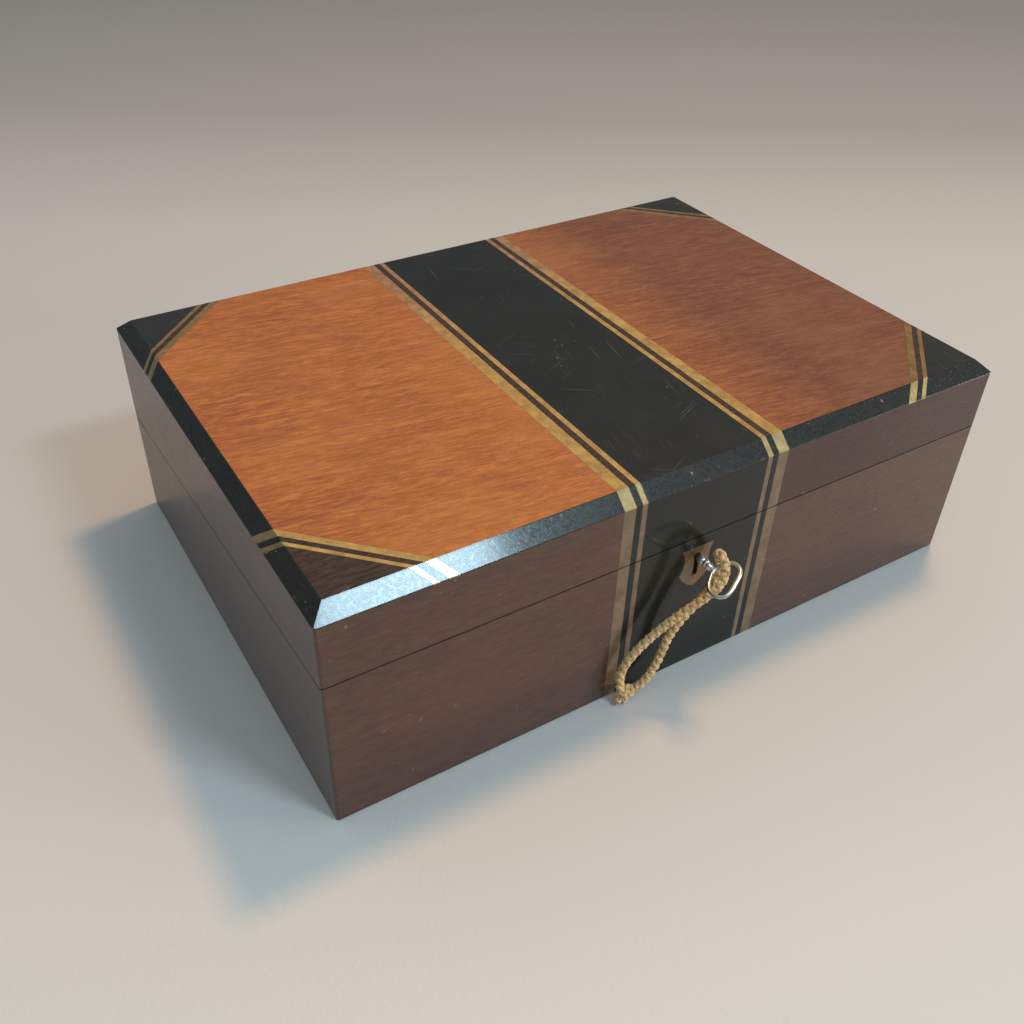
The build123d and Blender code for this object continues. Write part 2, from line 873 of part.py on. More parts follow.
with BuildPart() as lid_band_strings:
    extrude(front_light.sketch, amount=height - top_thickness)
    split(bisect_by=lid_rim, keep=Keep.TOP)


# Fittings of the base

with BuildPart() as tray_rail:
    step = rail_front + rail_rebate
    flap_under = -flap_drop - flap_thickness - flap_seat_gap
    with BuildSketch(Plane.YZ):
        Polygon(
            (rail_front, bottom_thickness),
            (rail_back, bottom_thickness),
            (rail_back, slope_z(rail_back, flap_under)),
            (step, slope_z(step, flap_under)),
            (step, slope_z(step, -seam_gap)),
            (rail_front, slope_z(rail_front, -seam_gap)),
            align=None,
        )
    extrude(amount=inner_half, both=True)

tray_top = slope_z(rail_front) - tray_drop
tray_low = tray_top - tray_thickness
tray_half = inner_half - ink_compartment - partition_thickness

with BuildPart() as ink_partitions:
    with BuildSketch(Plane.XZ.offset(-inner_front)):
        for outward in (-1, 1):
            with Locations((outward * (tray_half + partition_thickness / 2), bottom_thickness)):
                Rectangle(partition_thickness, height, align=(Align.CENTER, Align.MIN))
            with Locations((outward * (tray_half - tray_cleat / 2), bottom_thickness)):
                Rectangle(tray_cleat, tray_low - bottom_thickness, align=(Align.CENTER, Align.MIN))
    extrude(amount=-compartment_depth)
    split(bisect_by=slope_plane(-partition_drop), keep=Keep.BOTTOM)

with BuildPart() as pen_tray:
    tray_middle = (inner_front + rail_front) / 2
    with BuildSketch(Plane.XY.offset(tray_low)):
        with Locations((0, tray_middle)):
            Rectangle(2 * tray_half, compartment_depth)
    extrude(amount=tray_thickness)
    with BuildSketch(Plane.XY.offset(tray_top)):
        with Locations((0, tray_middle)):
            SlotOverall(2 * (tray_half - trough_end), trough_width)
    extrude(amount=-trough_depth, mode=Mode.SUBTRACT)
    trough_floor = pen_tray.faces().filter_by(Axis.Z).group_by(Axis.Z)[1]
    fillet(trough_floor.edges(), trough_round)


def inkwell_place(outward):
    """Middle of an ink compartment's floor."""
    x = outward * (inner_half - ink_compartment / 2)
    return (x, (inner_front + rail_front) / 2, bottom_thickness)


def inkwell_bottle(outward):
    """Square glass bottle with rounded edges, a round neck and a hollow for the ink."""
    place = Plane(origin=inkwell_place(outward))
    with BuildPart() as bottle:
        with BuildSketch(place):
            RectangleRounded(inkwell_side, inkwell_side, inkwell_corner)
        extrude(amount=inkwell_height)
        fillet(bottle.faces().sort_by(Axis.Z)[-1].edges(), inkwell_wall)
        with BuildSketch(place.offset(inkwell_height - inkwell_wall)):
            Circle(neck_radius)
        extrude(amount=neck_height + inkwell_wall)
        with BuildSketch(place.offset(inkwell_wall)):
            Circle(inkwell_cavity_radius)
        extrude(amount=inkwell_height - 2 * inkwell_wall, mode=Mode.SUBTRACT)
        with BuildSketch(place.offset(inkwell_wall)):
            Circle(neck_bore)
        extrude(amount=inkwell_height + neck_height, mode=Mode.SUBTRACT)
    return bottle


def inkwell_lid(outward):
    """Turned brass cap with a domed top, whose skirt sits over the neck."""
    x, y, z = inkwell_place(outward)
    seat = z + inkwell_height
    with BuildPart() as cap:
        with BuildSketch(Plane(origin=(x, y, seat), x_dir=(1, 0, 0), z_dir=(0, -1, 0))):
            with BuildLine():
                rim = Polyline(
                    (0, neck_height),
                    (neck_radius + cap_clearance, neck_height),
                    (neck_radius + cap_clearance, 0),
                    (cap_radius, 0),
                    (cap_radius, neck_height),
                )
                dome = TangentArc((0, cap_height), rim @ 1, tangent=(1, 0))
                Line(dome @ 0, rim @ 0)
            make_face()
        revolve(axis=Axis((x, y, 0), (0, 0, 1)))
    return cap


inkwell_left = inkwell_bottle(-1)
inkwell_right = inkwell_bottle(1)
inkwell_cap_left = inkwell_lid(-1)
inkwell_cap_right = inkwell_lid(1)


# Key

key_axis = Axis((0, 0, key_height), (0, 1, 0))
key_tip = cover_front - hook_clearance
turn = radians(key_angle)
bow_plane = Plane(
    origin=(0, 0, key_height), x_dir=(cos(turn), 0, sin(turn)), z_dir=(-sin(turn), 0, cos(turn))
)

with BuildPart() as key:
    # shank with a ball collar and two ridges
    collar_y = front_face - key_collar_reach
    shoulder_y = front_face - key_shoulder_reach
    flank = sqrt(key_collar_radius**2 - key_shank_radius**2)
    with BuildSketch(Plane.XY.offset(key_height)):
        with BuildLine():
            shank = Polyline(
                (0, shoulder_y),
                (0, key_tip),
                (key_shank_radius, key_tip),
                (key_shank_radius, collar_y + flank),
            )
            ball = ThreePointArc(
                shank @ 1, (key_collar_radius, collar_y), (key_shank_radius, collar_y - flank)
            )
            Polyline(ball @ 1, (key_shank_radius, shoulder_y), (0, shoulder_y))
        make_face()
        for reach in key_ridge_reaches:
            with Locations((0, front_face - reach)):
                Rectangle(key_ridge_radius, key_wire_radius, align=(Align.MIN, Align.CENTER))
    revolve(axis=key_axis)
    # stepped bit, which passes behind the bolt except at its shorter front step
    with BuildSketch(bow_plane):
        step_y = bolt_back + mortise_gap
        Polygon(
            (drill_pin_radius + running_clearance, bolt_front),
            (key_bit_short, bolt_front),
            (key_bit_short, step_y),
            (key_bit_long, step_y),
            (key_bit_long, key_tip),
            (drill_pin_radius + running_clearance, key_tip),
            align=None,
        )
    extrude(amount=key_bit_thickness / 2, both=True)
    # kidney-shaped bow of round wire
    with BuildLine(bow_plane) as bow:
        FilletPolyline(
            [(across, shoulder_y - outward) for across, outward in key_bow_corners],
            radius=key_bow_radii,
            close=True,
        )
    with BuildSketch(Plane(origin=bow.line @ 0, z_dir=bow.line % 0)):
        RegularPolygon(key_wire_radius, key_wire_sides)
    sweep(path=bow.line)
    # bore for the drill pin
    with BuildSketch(front_plane(key_tip)):
        Circle(drill_pin_radius + running_clearance)
    extrude(amount=key_tip - cavity_front + hook_clearance, mode=Mode.SUBTRACT)


# Cord: from the knot up to the bow, round its wire and back down to the knot

cord_points = [
    (-39.4, -128.5, 8.4),
    (-41.2, -129.0, 17.5),
    (-39.2, -130.6, 27.0),
    (-32.6, -132.6, 36.4),
    (-24.0, -134.9, 44.6),
    (-15.4, -137.0, 51.6),
    (-7.6, -138.9, 57.4),
    (-0.8, -139.6, 63.2),
    (3.4, -137.2, 69.4),
    (4.1, -131.2, 73.2),
    (6.2, -127.2, 69.0),
    (8.0, -128.6, 63.4),
    (3.6, -132.4, 58.4),
    (-4.6, -134.6, 52.6),
    (-12.8, -135.4, 46.0),
    (-18.0, -135.0, 37.4),
    (-19.8, -133.8, 27.6),
    (-22.0, -132.2, 17.6),
    (-26.2, -130.6, 9.2),
    (-31.2, -129.4, 4.6),
]


def corner_radii(points):
    """For each inner point, the radius that the two runs beside it allow."""
    radii = []
    for before, here, after in zip(points, points[1:], points[2:]):
        run_in = Vector(*here) - Vector(*before)
        run_out = Vector(*after) - Vector(*here)
        half_turn = radians(run_in.get_angle(run_out)) / 2
        radii.append(0.45 * min(run_in.length, run_out.length) / tan(half_turn))
    return radii


cord_radii = corner_radii(cord_points)

with BuildPart() as key_cord:
    with BuildLine() as cord_line:
        FilletPolyline(*cord_points, radius=cord_radii)
    cord_path = cord_line.wire()
    with BuildSketch(Plane(origin=cord_path @ 0, z_dir=cord_path % 0)):
        RegularPolygon(cord_radius, cord_sides)
    sweep(path=cord_path)

cord_length = cord_path.length
cord_section = cord_sides / 2 * cord_radius**2 * sin(2 * pi / cord_sides)
cord_fill = key_cord.part.volume / (cord_section * cord_length)
print("cord radii", [round(radius, 1) for radius in cord_radii])
print("cord length", round(cord_length, 1), "volume over section times length", round(cord_fill, 4))

# Overhand knot that closes the loop, with one short tail
knot_middle = (-36.6, -128.4, 5.9)
knot_tail = (-36.6, -128.6, 4.6)

with BuildPart() as cord_knot:
    with Locations(Location(knot_middle, (70, 20, 0))):
        Cylinder(knot_radius, 2 * cord_radius)
    fillet(cord_knot.edges().filter_by(GeomType.CIRCLE), knot_rounding * cord_radius)
    with BuildSketch(Plane(origin=knot_tail, z_dir=(-1, -0.1, -0.2))):
        Circle(tail_radius)
    extrude(amount=tail_length)
    add(key_cord.part, mode=Mode.SUBTRACT)


pieces = {
    "base_front_wall": base_front_wall,
    "base_right_wall": base_right_wall,
    "base_back_wall": base_back_wall,
    "base_left_wall": base_left_wall,
    "bottom_board": bottom_board,
    "base_band_ebony": base_band_ebony,
    "base_band_strings": base_band_strings,
    "escutcheon": escutcheon,
    "tray_rail": tray_rail,
    "ink_partitions": ink_partitions,
    "pen_tray": pen_tray,
    "inkwell_left": inkwell_left,
    "inkwell_right": inkwell_right,
    "inkwell_cap_left": inkwell_cap_left,
    "inkwell_cap_right": inkwell_cap_right,
    "base_ledges": base_ledges,
    "lock_case": lock_case,
    "lock_cover": lock_cover,
    "lock_bolt": lock_bolt,
    "hinge_base_leaves": hinge_base_leaves,
    "hinge_pins": hinge_pins,
    "base_flap_wall_leaves": base_flap_wall_leaves,
    "base_flap_pins": base_flap_pins,
    "base_flap_board": base_flap_board,
    "base_flap_leather": base_flap_leather,
    "base_flap_tab": base_flap_tab,
    "base_flap_board_leaves": base_flap_board_leaves,
    "lid_front_wall": lid_front_wall,
    "lid_right_wall": lid_right_wall,
    "lid_back_wall": lid_back_wall,
    "lid_left_wall": lid_left_wall,
    "top_board": top_board,
    "edging_front": edging_front,
    "edging_right": edging_right,
    "edging_back": edging_back,
    "edging_left": edging_left,
    "edging_strings": edging_strings,
    "top_band_ebony": top_band_ebony,
    "top_band_strings": top_band_strings,
    "corner_ebony": corner_ebony,
    "corner_strings": corner_strings,
    "lid_band_ebony": lid_band_ebony,
    "lid_band_strings": lid_band_strings,
    "lid_ledges": lid_ledges,
    "link_plate": link_plate,
    "hinge_lid_leaves": hinge_lid_leaves,
    "lid_flap_wall_leaves": lid_flap_wall_leaves,
    "lid_flap_pins": lid_flap_pins,
    "lid_flap_board": lid_flap_board,
    "lid_flap_leather": lid_flap_leather,
    "lid_flap_tab": lid_flap_tab,
    "lid_flap_board_leaves": lid_flap_board_leaves,
    "key": key,
    "key_cord": key_cord,
    "cord_knot": cord_knot,
}

os.makedirs("parts", exist_ok=True)
for name, piece in pieces.items():
    piece.part.label = name
    export_step(piece.part, f"parts/{name}.step")
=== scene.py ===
import math

import bmesh
import bpy
from mathutils import Matrix, Vector
from mathutils.bvhtree import BVHTree


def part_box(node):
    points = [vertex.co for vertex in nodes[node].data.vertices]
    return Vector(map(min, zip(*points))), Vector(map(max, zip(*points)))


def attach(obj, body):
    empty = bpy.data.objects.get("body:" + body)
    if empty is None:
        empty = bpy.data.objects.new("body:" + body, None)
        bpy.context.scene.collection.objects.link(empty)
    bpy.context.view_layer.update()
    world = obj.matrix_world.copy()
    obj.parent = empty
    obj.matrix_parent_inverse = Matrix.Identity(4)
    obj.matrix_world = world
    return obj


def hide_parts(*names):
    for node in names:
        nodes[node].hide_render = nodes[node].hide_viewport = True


# Looks of a closed lap desk: polished mahogany with an ebonised band, corners and edging,
# boxwood lines, a steel key and a plaited cord. Metres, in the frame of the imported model.

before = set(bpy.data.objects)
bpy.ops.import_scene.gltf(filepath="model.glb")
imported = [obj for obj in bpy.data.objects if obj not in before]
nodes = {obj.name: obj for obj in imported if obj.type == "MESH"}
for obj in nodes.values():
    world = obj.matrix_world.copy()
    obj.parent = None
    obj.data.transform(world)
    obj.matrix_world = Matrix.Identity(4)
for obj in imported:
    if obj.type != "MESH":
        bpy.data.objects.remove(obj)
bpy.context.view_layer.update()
scene = bpy.context.scene
MM = 0.001


# Camera, at the photograph's viewing angle

CAMERA_PLACE = Vector((-0.2570, -0.3729, 0.3613))
CAMERA_AHEAD = Vector((0.42485, 0.66304, -0.61635))
CAMERA_RIGHT = Vector((0.85186, -0.52320, 0.02436))
FOCAL_LENGTH = 37.03
SENSOR_WIDTH = 36
NEAREST_SEEN = 0.01


def make_camera():
    data = bpy.data.cameras.new("camera")
    data.lens = FOCAL_LENGTH
    data.sensor_fit = "HORIZONTAL"
    data.sensor_width = SENSOR_WIDTH
    data.clip_start = NEAREST_SEEN
    camera = bpy.data.objects.new("camera", data)
    back = -CAMERA_AHEAD.normalized()
    right = (CAMERA_RIGHT - back * CAMERA_RIGHT.dot(back)).normalized()
    turn = Matrix((right, back.cross(right), back)).transposed()
    camera.matrix_world = Matrix.Translation(CAMERA_PLACE) @ turn.to_4x4()
    scene.collection.objects.link(camera)
    scene.camera = camera


make_camera()


# Meshes

# share of a tube's radius at its open end, and how much it grows from ring to ring
END_SHARE = 0.35
STRAND_SIDES = 8
FEWEST_PARTS = 4
SHORTEST = 1e-9


def new_piece(name, mesh_builder, material, body, smooth=True):
    """An object made from a bmesh, with one material, riding on a body."""
    mesh = bpy.data.meshes.new(name)
    mesh_builder.normal_update()
    mesh_builder.to_mesh(mesh)
    mesh_builder.free()
    mesh.materials.append(material)
    for face in mesh.polygons:
        face.use_smooth = smooth
    piece = bpy.data.objects.new(name, mesh)
    scene.collection.objects.link(piece)
    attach(piece, body)
    return piece


def join_rings(builder, one, other):
    """Adds the faces between two closed rings of as many points."""
    faces = []
    for k in range(len(one)):
        j = (k + 1) % len(one)
        faces.append(builder.faces.new((one[k], one[j], other[j], other[k])))
    return faces


def frames_along(points, closed=False):
    """For each point of a line, its direction and two directions across it that don't twist."""
    count = len(points)
    tangents = []
    for i in range(count):
        before = points[i - 1] if closed or i else points[0]
        after = points[(i + 1) % count] if closed else points[min(i + 1, count - 1)]
        tangents.append((after - before).normalized())
    side = tangents[0].cross(Vector((0, 1, 0))).normalized()
    frames = []
    for tangent in tangents:
        side = (side - tangent * side.dot(tangent)).normalized()
        frames.append((tangent, side, tangent.cross(side)))
    return frames


def add_tube(builder, points, radius, sides, closed=False):
    """Adds a round tube along a line of points, with domed ends where it is open."""
    count = len(points)
    rings = []
    for i, (tangent, side, up) in enumerate(frames_along(points, closed)):
        share = 1.0
        if not closed:
            share = min(1.0, END_SHARE + END_SHARE * min(i, count - 1 - i))
        ring = []
        for k in range(sides):
            angle = 2 * math.pi * k / sides
            offset = (side * math.cos(angle) + up * math.sin(angle)) * radius * share
            ring.append(builder.verts.new(points[i] + offset))
        rings.append(ring)
    for one, other in zip(rings, rings[1:]):
        join_rings(builder, one, other)
    if closed:
        join_rings(builder, rings[-1], rings[0])
    else:
        builder.faces.new(rings[0][::-1])
        builder.faces.new(rings[-1])


def even_points(points, step):
    """Points at an even distance along a line."""
    marks = [0.0]
    for one, other in zip(points, points[1:]):
        marks.append(marks[-1] + (other - one).length)
    count = max(FEWEST_PARTS, round(marks[-1] / step))
    result, k = [], 0
    for i in range(count + 1):
        mark = marks[-1] * i / count
        while k < len(marks) - 2 and marks[k + 1] < mark:
            k += 1
        share = (mark - marks[k]) / max(marks[k + 1] - marks[k], SHORTEST)
        result.append(points[k].lerp(points[k + 1], share))
    return result


def add_braid(builder, points, radius, rise, strand, pitch, closed=False):
    """Adds a round braid along an evenly spaced line: two strands wind each way and cross."""
    step = (points[1] - points[0]).length
    turns = len(points) * step / pitch
    if closed:
        turns = max(1, round(turns))
    frames = frames_along(points, closed)
    for way in (1, -1):
        for half in (0, math.pi):
            line = []
            for i, (point, (tangent, side, up)) in enumerate(zip(points, frames)):
                phase = 2 * math.pi * turns * i / len(points)
                reach = radius + way * rise * math.cos(2 * phase)
                angle = way * phase + half
                line.append(point + (side * math.cos(angle) + up * math.sin(angle)) * reach)
            add_tube(builder, line, strand, STRAND_SIDES, closed)


# Cord: its solid's route, from the knot round the key's bow and back, hung nearer the front

CORD_ROUTE = [
    (-39.4, -128.3, 8.0),
    (-40.4, -126.8, 15.6),
    (-38.1, -127.2, 23.9),
    (-31.2, -128.2, 32.5),
    (-22.4, -129.7, 40.0),
    (-14.0, -132.5, 47.7),
    (-6.7, -136.2, 55.0),
    (-0.8, -139.6, 63.2),
    (3.4, -137.2, 69.4),
    (4.1, -131.2, 73.2),
    (6.2, -127.2, 69.0),
    (8.0, -128.6, 63.4),
    (3.6, -132.4, 58.4),
    (-3.6, -131.7, 50.1),
    (-11.1, -129.8, 41.1),
    (-16.2, -128.8, 32.0),
    (-18.1, -128.2, 22.8),
    (-20.7, -127.7, 13.6),
    (-25.2, -127.5, 7.0),
    (-31.2, -128.2, 4.6),
]
KNOT_MIDDLE = Vector((-36.6, -128.4, 5.6)) * MM
KNOT_SIZE = 1.08 * MM
# the knot's depth and height, as shares of its width
KNOT_SHAPE = (1.1, 0.92)
KNOT_TAIL = ((-2.6, -0.2, -1.8), (-5.4, -0.6, -2.6))
# braids: where a strand's middle runs, its rise over the others, its radius, and a full turn
CORD_BRAID = {"radius": 1.0 * MM, "rise": 0.36 * MM, "strand": 0.98 * MM, "pitch": 7.6 * MM}
KNOT_BRAID = {"radius": 0.75 * MM, "rise": 0.25 * MM, "strand": 0.72 * MM, "pitch": 6.0 * MM}
CORD_STEP = 0.5 * MM
KNOT_STEP = 0.4 * MM
SPLINE_STEPS = 24
TREFOIL_STEPS = 150


def spline_points(route):
    """Points of the smooth line that has the route's points as its control points."""
    curve = bpy.data.curves.new("cord_line", "CURVE")
    curve.dimensions = "3D"
    curve.resolution_u = SPLINE_STEPS
    spline = curve.splines.new("NURBS")
    spline.points.add(len(route) - 1)
    for point, place in zip(spline.points, route):
        point.co = (*[value * MM for value in place], 1)
    spline.order_u = 3
    spline.use_endpoint_u = True
    holder = bpy.data.objects.new("cord_line", curve)
    scene.collection.objects.link(holder)
    bpy.context.view_layer.update()
    mesh = bpy.data.meshes.new_from_object(holder)
    points = [vertex.co.copy() for vertex in mesh.vertices]
    bpy.data.objects.remove(holder)
    bpy.data.meshes.remove(mesh)
    bpy.data.curves.remove(curve)
    return points


def trefoil(middle, size):
    """The closed line of an overhand knot."""
    deep, high = KNOT_SHAPE
    line = []
    for i in range(TREFOIL_STEPS):
        t = 2 * math.pi * i / TREFOIL_STEPS
        x = math.sin(t) + 2 * math.sin(2 * t)
        y = math.cos(t) - 2 * math.cos(2 * t)
        z = -math.sin(3 * t)
        line.append(middle + Vector((x * size, z * size * deep, y * size * high)))
    return line


# Materials

def colour(red, green, blue):
    """Linear colour of a screen colour of 0 to 255."""
    linear = []
    for value in (red, green, blue):
        value /= 255
        linear.append(value / 12.92 if value <= 0.04045 else ((value + 0.055) / 1.055) ** 2.4)
    return (*linear, 1.0)


# sockets of a colour mix: its share, its two colours and its result
MIX_SHARE, MIX_FIRST, MIX_SECOND, MIX_RESULT = 0, 6, 7, 2
EDGE_SAMPLES = 4


class Surface:
    """A node material: its main shader, and short calls for the nodes that feed it."""

    def __init__(self, name, roughness=0.5, metallic=0.0, **sockets):
        self.material = bpy.data.materials.new(name)
        self.material.use_nodes = True
        self.tree = self.material.node_tree
        self.shader = self.tree.nodes["Principled BSDF"]
        self.shader.inputs["Roughness"].default_value = roughness
        self.shader.inputs["Metallic"].default_value = metallic
        for socket, value in sockets.items():
            self.shader.inputs[socket.replace("_", " ")].default_value = value

    def feed(self, socket, value):
        """Links a value, or sets it where it is a plain number or colour."""
        if isinstance(value, bpy.types.NodeSocket):
            self.tree.links.new(value, socket)
        else:
            socket.default_value = value

    def node(self, kind, **settings):
        node = self.tree.nodes.new(kind)
        for name, value in settings.items():
            setattr(node, name, value)
        return node

    def place(self, scale=1, turn=(0, 0, 0), shift=(0, 0, 0)):
        """The surface's own place in metres, turned, then scaled: more scale is finer detail."""
        vector = self.node("ShaderNodeTexCoord").outputs["Object"]
        if any(turn):
            turning = self.node("ShaderNodeMapping", vector_type="POINT")
            turning.inputs["Rotation"].default_value = [math.radians(angle) for angle in turn]
            self.feed(turning.inputs["Vector"], vector)
            vector = turning.outputs["Vector"]
        mapping = self.node("ShaderNodeMapping", vector_type="POINT")
        scales = scale if isinstance(scale, tuple) else (scale,) * 3
        mapping.inputs["Scale"].default_value = scales
        mapping.inputs["Location"].default_value = shift
        self.feed(mapping.inputs["Vector"], vector)
        return mapping.outputs["Vector"]

    def noise(
        self, scale, detail=2.0, roughness=0.5, distortion=0.0, turn=(0, 0, 0), shift=(0, 0, 0)
    ):
        """Noise of 0 to 1, with about as many spots to a metre as its scale says."""
        vector = self.place(scale, turn, shift)
        node = self.node("ShaderNodeTexNoise")
        self.feed(node.inputs["Vector"], vector)
        node.inputs["Scale"].default_value = 1.0
        node.inputs["Detail"].default_value = detail
        node.inputs["Roughness"].default_value = roughness
        node.inputs["Distortion"].default_value = distortion
        return node.outputs["Fac"]

    def cells(self, scale):
        """Distance from the middle of irregular cells, as many to a metre as the scale says."""
        vector = self.place(scale)
        node = self.node("ShaderNodeTexVoronoi")
        self.feed(node.inputs["Vector"], vector)
        node.inputs["Scale"].default_value = 1.0
        return node.outputs["Distance"]

    def between(self, value, low, high, out_low=0.0, out_high=1.0):
        """Stretches the part of a value from low to high to a new range."""
        node = self.node("ShaderNodeMapRange", clamp=True)
        self.feed(node.inputs["Value"], value)
        limits = (low, high, out_low, out_high)
        for name, number in zip(("From Min", "From Max", "To Min", "To Max"), limits):
            node.inputs[name].default_value = number
        return node.outputs["Result"]

    def below(self, value, low, high, most=1.0):
        """The same, falling: most up to low, and nothing from high."""
        return self.between(value, low, high, most, 0.0)

    def maths(self, operation, first, second=0.0):
        node = self.node("ShaderNodeMath", operation=operation)
        self.feed(node.inputs[0], first)
        self.feed(node.inputs[1], second)
        return node.outputs[0]

    def mix(self, share, first, second, blend="MIX"):
        node = self.node("ShaderNodeMix", data_type="RGBA", blend_type=blend)
        self.feed(node.inputs[MIX_SHARE], share)
        self.feed(node.inputs[MIX_FIRST], first)
        self.feed(node.inputs[MIX_SECOND], second)
        return node.outputs[MIX_RESULT]

    def tint(self, share, tone, factors):
        """A tone multiplied by three factors, as far as the share says."""
        return self.mix(share, tone, (*factors, 1.0), "MULTIPLY")

    def ramp(self, value, *stops):
        node = self.node("ShaderNodeValToRGB")
        elements = node.color_ramp.elements
        while len(elements) < len(stops):
            elements.new(0.5)
        for element, (position, tone) in zip(elements, stops):
            element.position = position
            element.color = tone
        self.feed(node.inputs["Fac"], value)
        return node.outputs["Color"]

    def axis_value(self, axis):
        """The surface's place along X, Y or Z, in metres."""
        split = self.node("ShaderNodeSeparateXYZ")
        self.feed(split.inputs[0], self.place())
        return split.outputs[axis]

    def relief(self, height, depth, edge_radius=0.0):
        """Bump of a depth in metres, on edges that look rounded to a radius."""
        bump = self.node("ShaderNodeBump")
        bump.inputs["Strength"].default_value = 1.0
        bump.inputs["Distance"].default_value = depth
        self.feed(bump.inputs["Height"], height)
        if edge_radius:
            edge = self.node("ShaderNodeBevel", samples=EDGE_SAMPLES)
            edge.inputs["Radius"].default_value = edge_radius
            self.feed(bump.inputs["Normal"], edge.outputs["Normal"])
        self.feed(self.shader.inputs["Normal"], bump.outputs["Normal"])

    def finish(self, tone, roughness=None):
        self.feed(self.shader.inputs["Base Color"], tone)
        if roughness is not None:
            self.feed(self.shader.inputs["Roughness"], roughness)
        return self.material


# radii in metres that edges look rounded to
WOOD_EDGE = 0.0006
LINE_EDGE = 0.0003
METAL_EDGE = 0.0002

# colours of the darkening near the table, of dirt, marks and unstained wood
DIRT = colour(34, 22, 19)
LINE_DIRT = colour(105, 78, 44)
KNOCK = colour(160, 120, 100)
SCRATCH = colour(135, 130, 120)
NICK = colour(140, 128, 108)
ROSEWOOD = (colour(40, 26, 20), colour(82, 56, 42))
# factors by which a part of a wood differs from the rest, for red, green and blue
RIGHT_VENEER_TINT = (0.46, 0.49, 1.0)
BOARD_TINT = (0.42, 0.50, 1.1)
RIGHT_FRONT_TINT = (0.52, 0.34, 0.29)
# how far painted shade darkens light lines, for red, green and blue
PAINTED_SHADE_TINT = (0.46, 0.42, 0.42)
# painted shade on the top's light lines towards the back: darker and bluer
FAR_SHADE_TINT = (0.78, 0.70, 1.15)

# the cut between base and lid: its height at mid depth, and its rise per metre of depth
CUT_HEIGHT = 0.067175
CUT_SLOPE = -0.08545

# places in metres between which one look gives way to another
VENEER_HEIGHT = (0.1122, 0.1126)
FRONT_CUT = (CUT_HEIGHT + 0.0100, CUT_HEIGHT + 0.0104)
NEAR_TABLE = (0.0, 0.003)
NEAR_CUT = (0.0004, 0.0012)
RIGHT_VENEER = (0.0, 0.09)
RIGHT_FRONT = (0.0, 0.06)
MIDDLE = (-0.001, 0.001)
LEFT_BEVEL = (-0.1690, -0.1680)
FAR_HALF = (0.015, 0.085)
BAND_LINES = (0.0335, 0.0340)
CORNER_LINES = (0.0340, 0.0346)

# grain of mahogany: spots to a metre along it and across it
FIGURE = (130, 780)
SILK = (32, 260)
PORES = (210, 1500)

# directions of the scratches, in degrees
SCRATCH_ANGLES = (35, 100, -25)
GLASS_TONE = (0.86, 0.95, 0.92, 1.0)
# a gilt line's distance from the leather's edge, and its width
GILT_LINES = ((0.005, 0.0012), (0.0078, 0.0005))
GILT_BLUR = 0.0001


def mahogany(
    name, dark, middle, light, axis, gloss, polish=0.22, sheen=0.5, fleck=0.6, cloudy=0.5,
    wear=None, turn=(0, 0, 0), shift=(0, 0, 0)
):
    """Polished mahogany: an even figure of short dark flecks with paler silk between them."""
    wood = Surface(name, Coat_Weight=gloss, Coat_Roughness=polish, Specular_IOR_Level=sheen)

    def grain(form, *detail):
        along, across = form
        scale = tuple(along if axis == one else across for one in "xyz")
        return wood.noise(scale, *detail, turn=turn, shift=shift)

    figure = grain(FIGURE, 5, 0.62, 0.35)
    silk = grain(SILK, 3, 0.55, 0.4)
    clouds = wood.noise(15, 3, shift=shift)
    figured = wood.maths("MULTIPLY", figure, 0.7)
    body = wood.maths("ADD", figured, wood.maths("MULTIPLY", silk, 0.3))
    tone = wood.ramp(wood.between(body, 0.38, 0.62), (0.0, dark), (0.5, middle), (1.0, light))
    tone = wood.mix(wood.between(clouds, 0.38, 0.66, 0.0, cloudy), tone, light)
    pores = wood.between(grain(PORES, 2, 0.5, 0.3), 0.56, 0.66)
    tone = wood.mix(wood.maths("MULTIPLY", pores, fleck), tone, dark)
    if wear:
        tone = wear(wood, tone)
    rough = wood.between(figure, 0.3, 0.7, 0.34, 0.48)
    wood.relief(wood.maths("SUBTRACT", figure, pores), depth=0.00008, edge_radius=WOOD_EDGE)
    return wood.finish(tone, rough)


def top_veneers(wood, tone):
    """The veneer right of the band is darker and greyer, and the board under both is plain."""
    right = wood.between(wood.axis_value("X"), *RIGHT_VENEER)
    tone = wood.tint(right, tone, RIGHT_VENEER_TINT)
    under = wood.below(wood.axis_value("Z"), *VENEER_HEIGHT)
    return wood.tint(under, tone, BOARD_TINT)


def side_wear(wood, tone):
    """Marks on a wall: darker near the table, and from handling, dirt along the lid's cut and
    pale knocks.
    """
    height = wood.axis_value("Z")
    # darker within 3 mm of the table
    low = wood.below(height, *NEAR_TABLE, 0.5)
    cut = wood.maths("MULTIPLY", wood.axis_value("Y"), CUT_SLOPE)
    cut = wood.maths("SUBTRACT", height, wood.maths("ADD", cut, CUT_HEIGHT))
    cut = wood.below(wood.maths("ABSOLUTE", cut), *NEAR_CUT, 0.25)
    tone = wood.mix(wood.maths("MAXIMUM", low, cut), tone, DIRT)
    knocks = wood.between(wood.noise(260, 3, 0.6), 0.70, 0.74)
    return wood.mix(wood.maths("MULTIPLY", knocks, 0.5), tone, KNOCK)


def front_wear(wood, tone):
    """The same marks, on a front whose right half is darker above the cut."""
    upper = wood.between(wood.axis_value("Z"), *FRONT_CUT)
    right = wood.between(wood.axis_value("X"), *RIGHT_FRONT)
    tone = wood.tint(wood.maths("MULTIPLY", upper, right), tone, RIGHT_FRONT_TINT)
    return side_wear(wood, tone)


def scratches(surface, angle):
    """Thin straight marks across a surface, in one direction."""
    marks = surface.noise((28, 2600, 2600), 0, turn=(0, 0, angle))
    few = surface.noise(34, 1, shift=(angle, 0, 0))
    marks = surface.between(marks, 0.765, 0.80)
    return surface.maths("MULTIPLY", marks, surface.between(few, 0.5, 0.62))


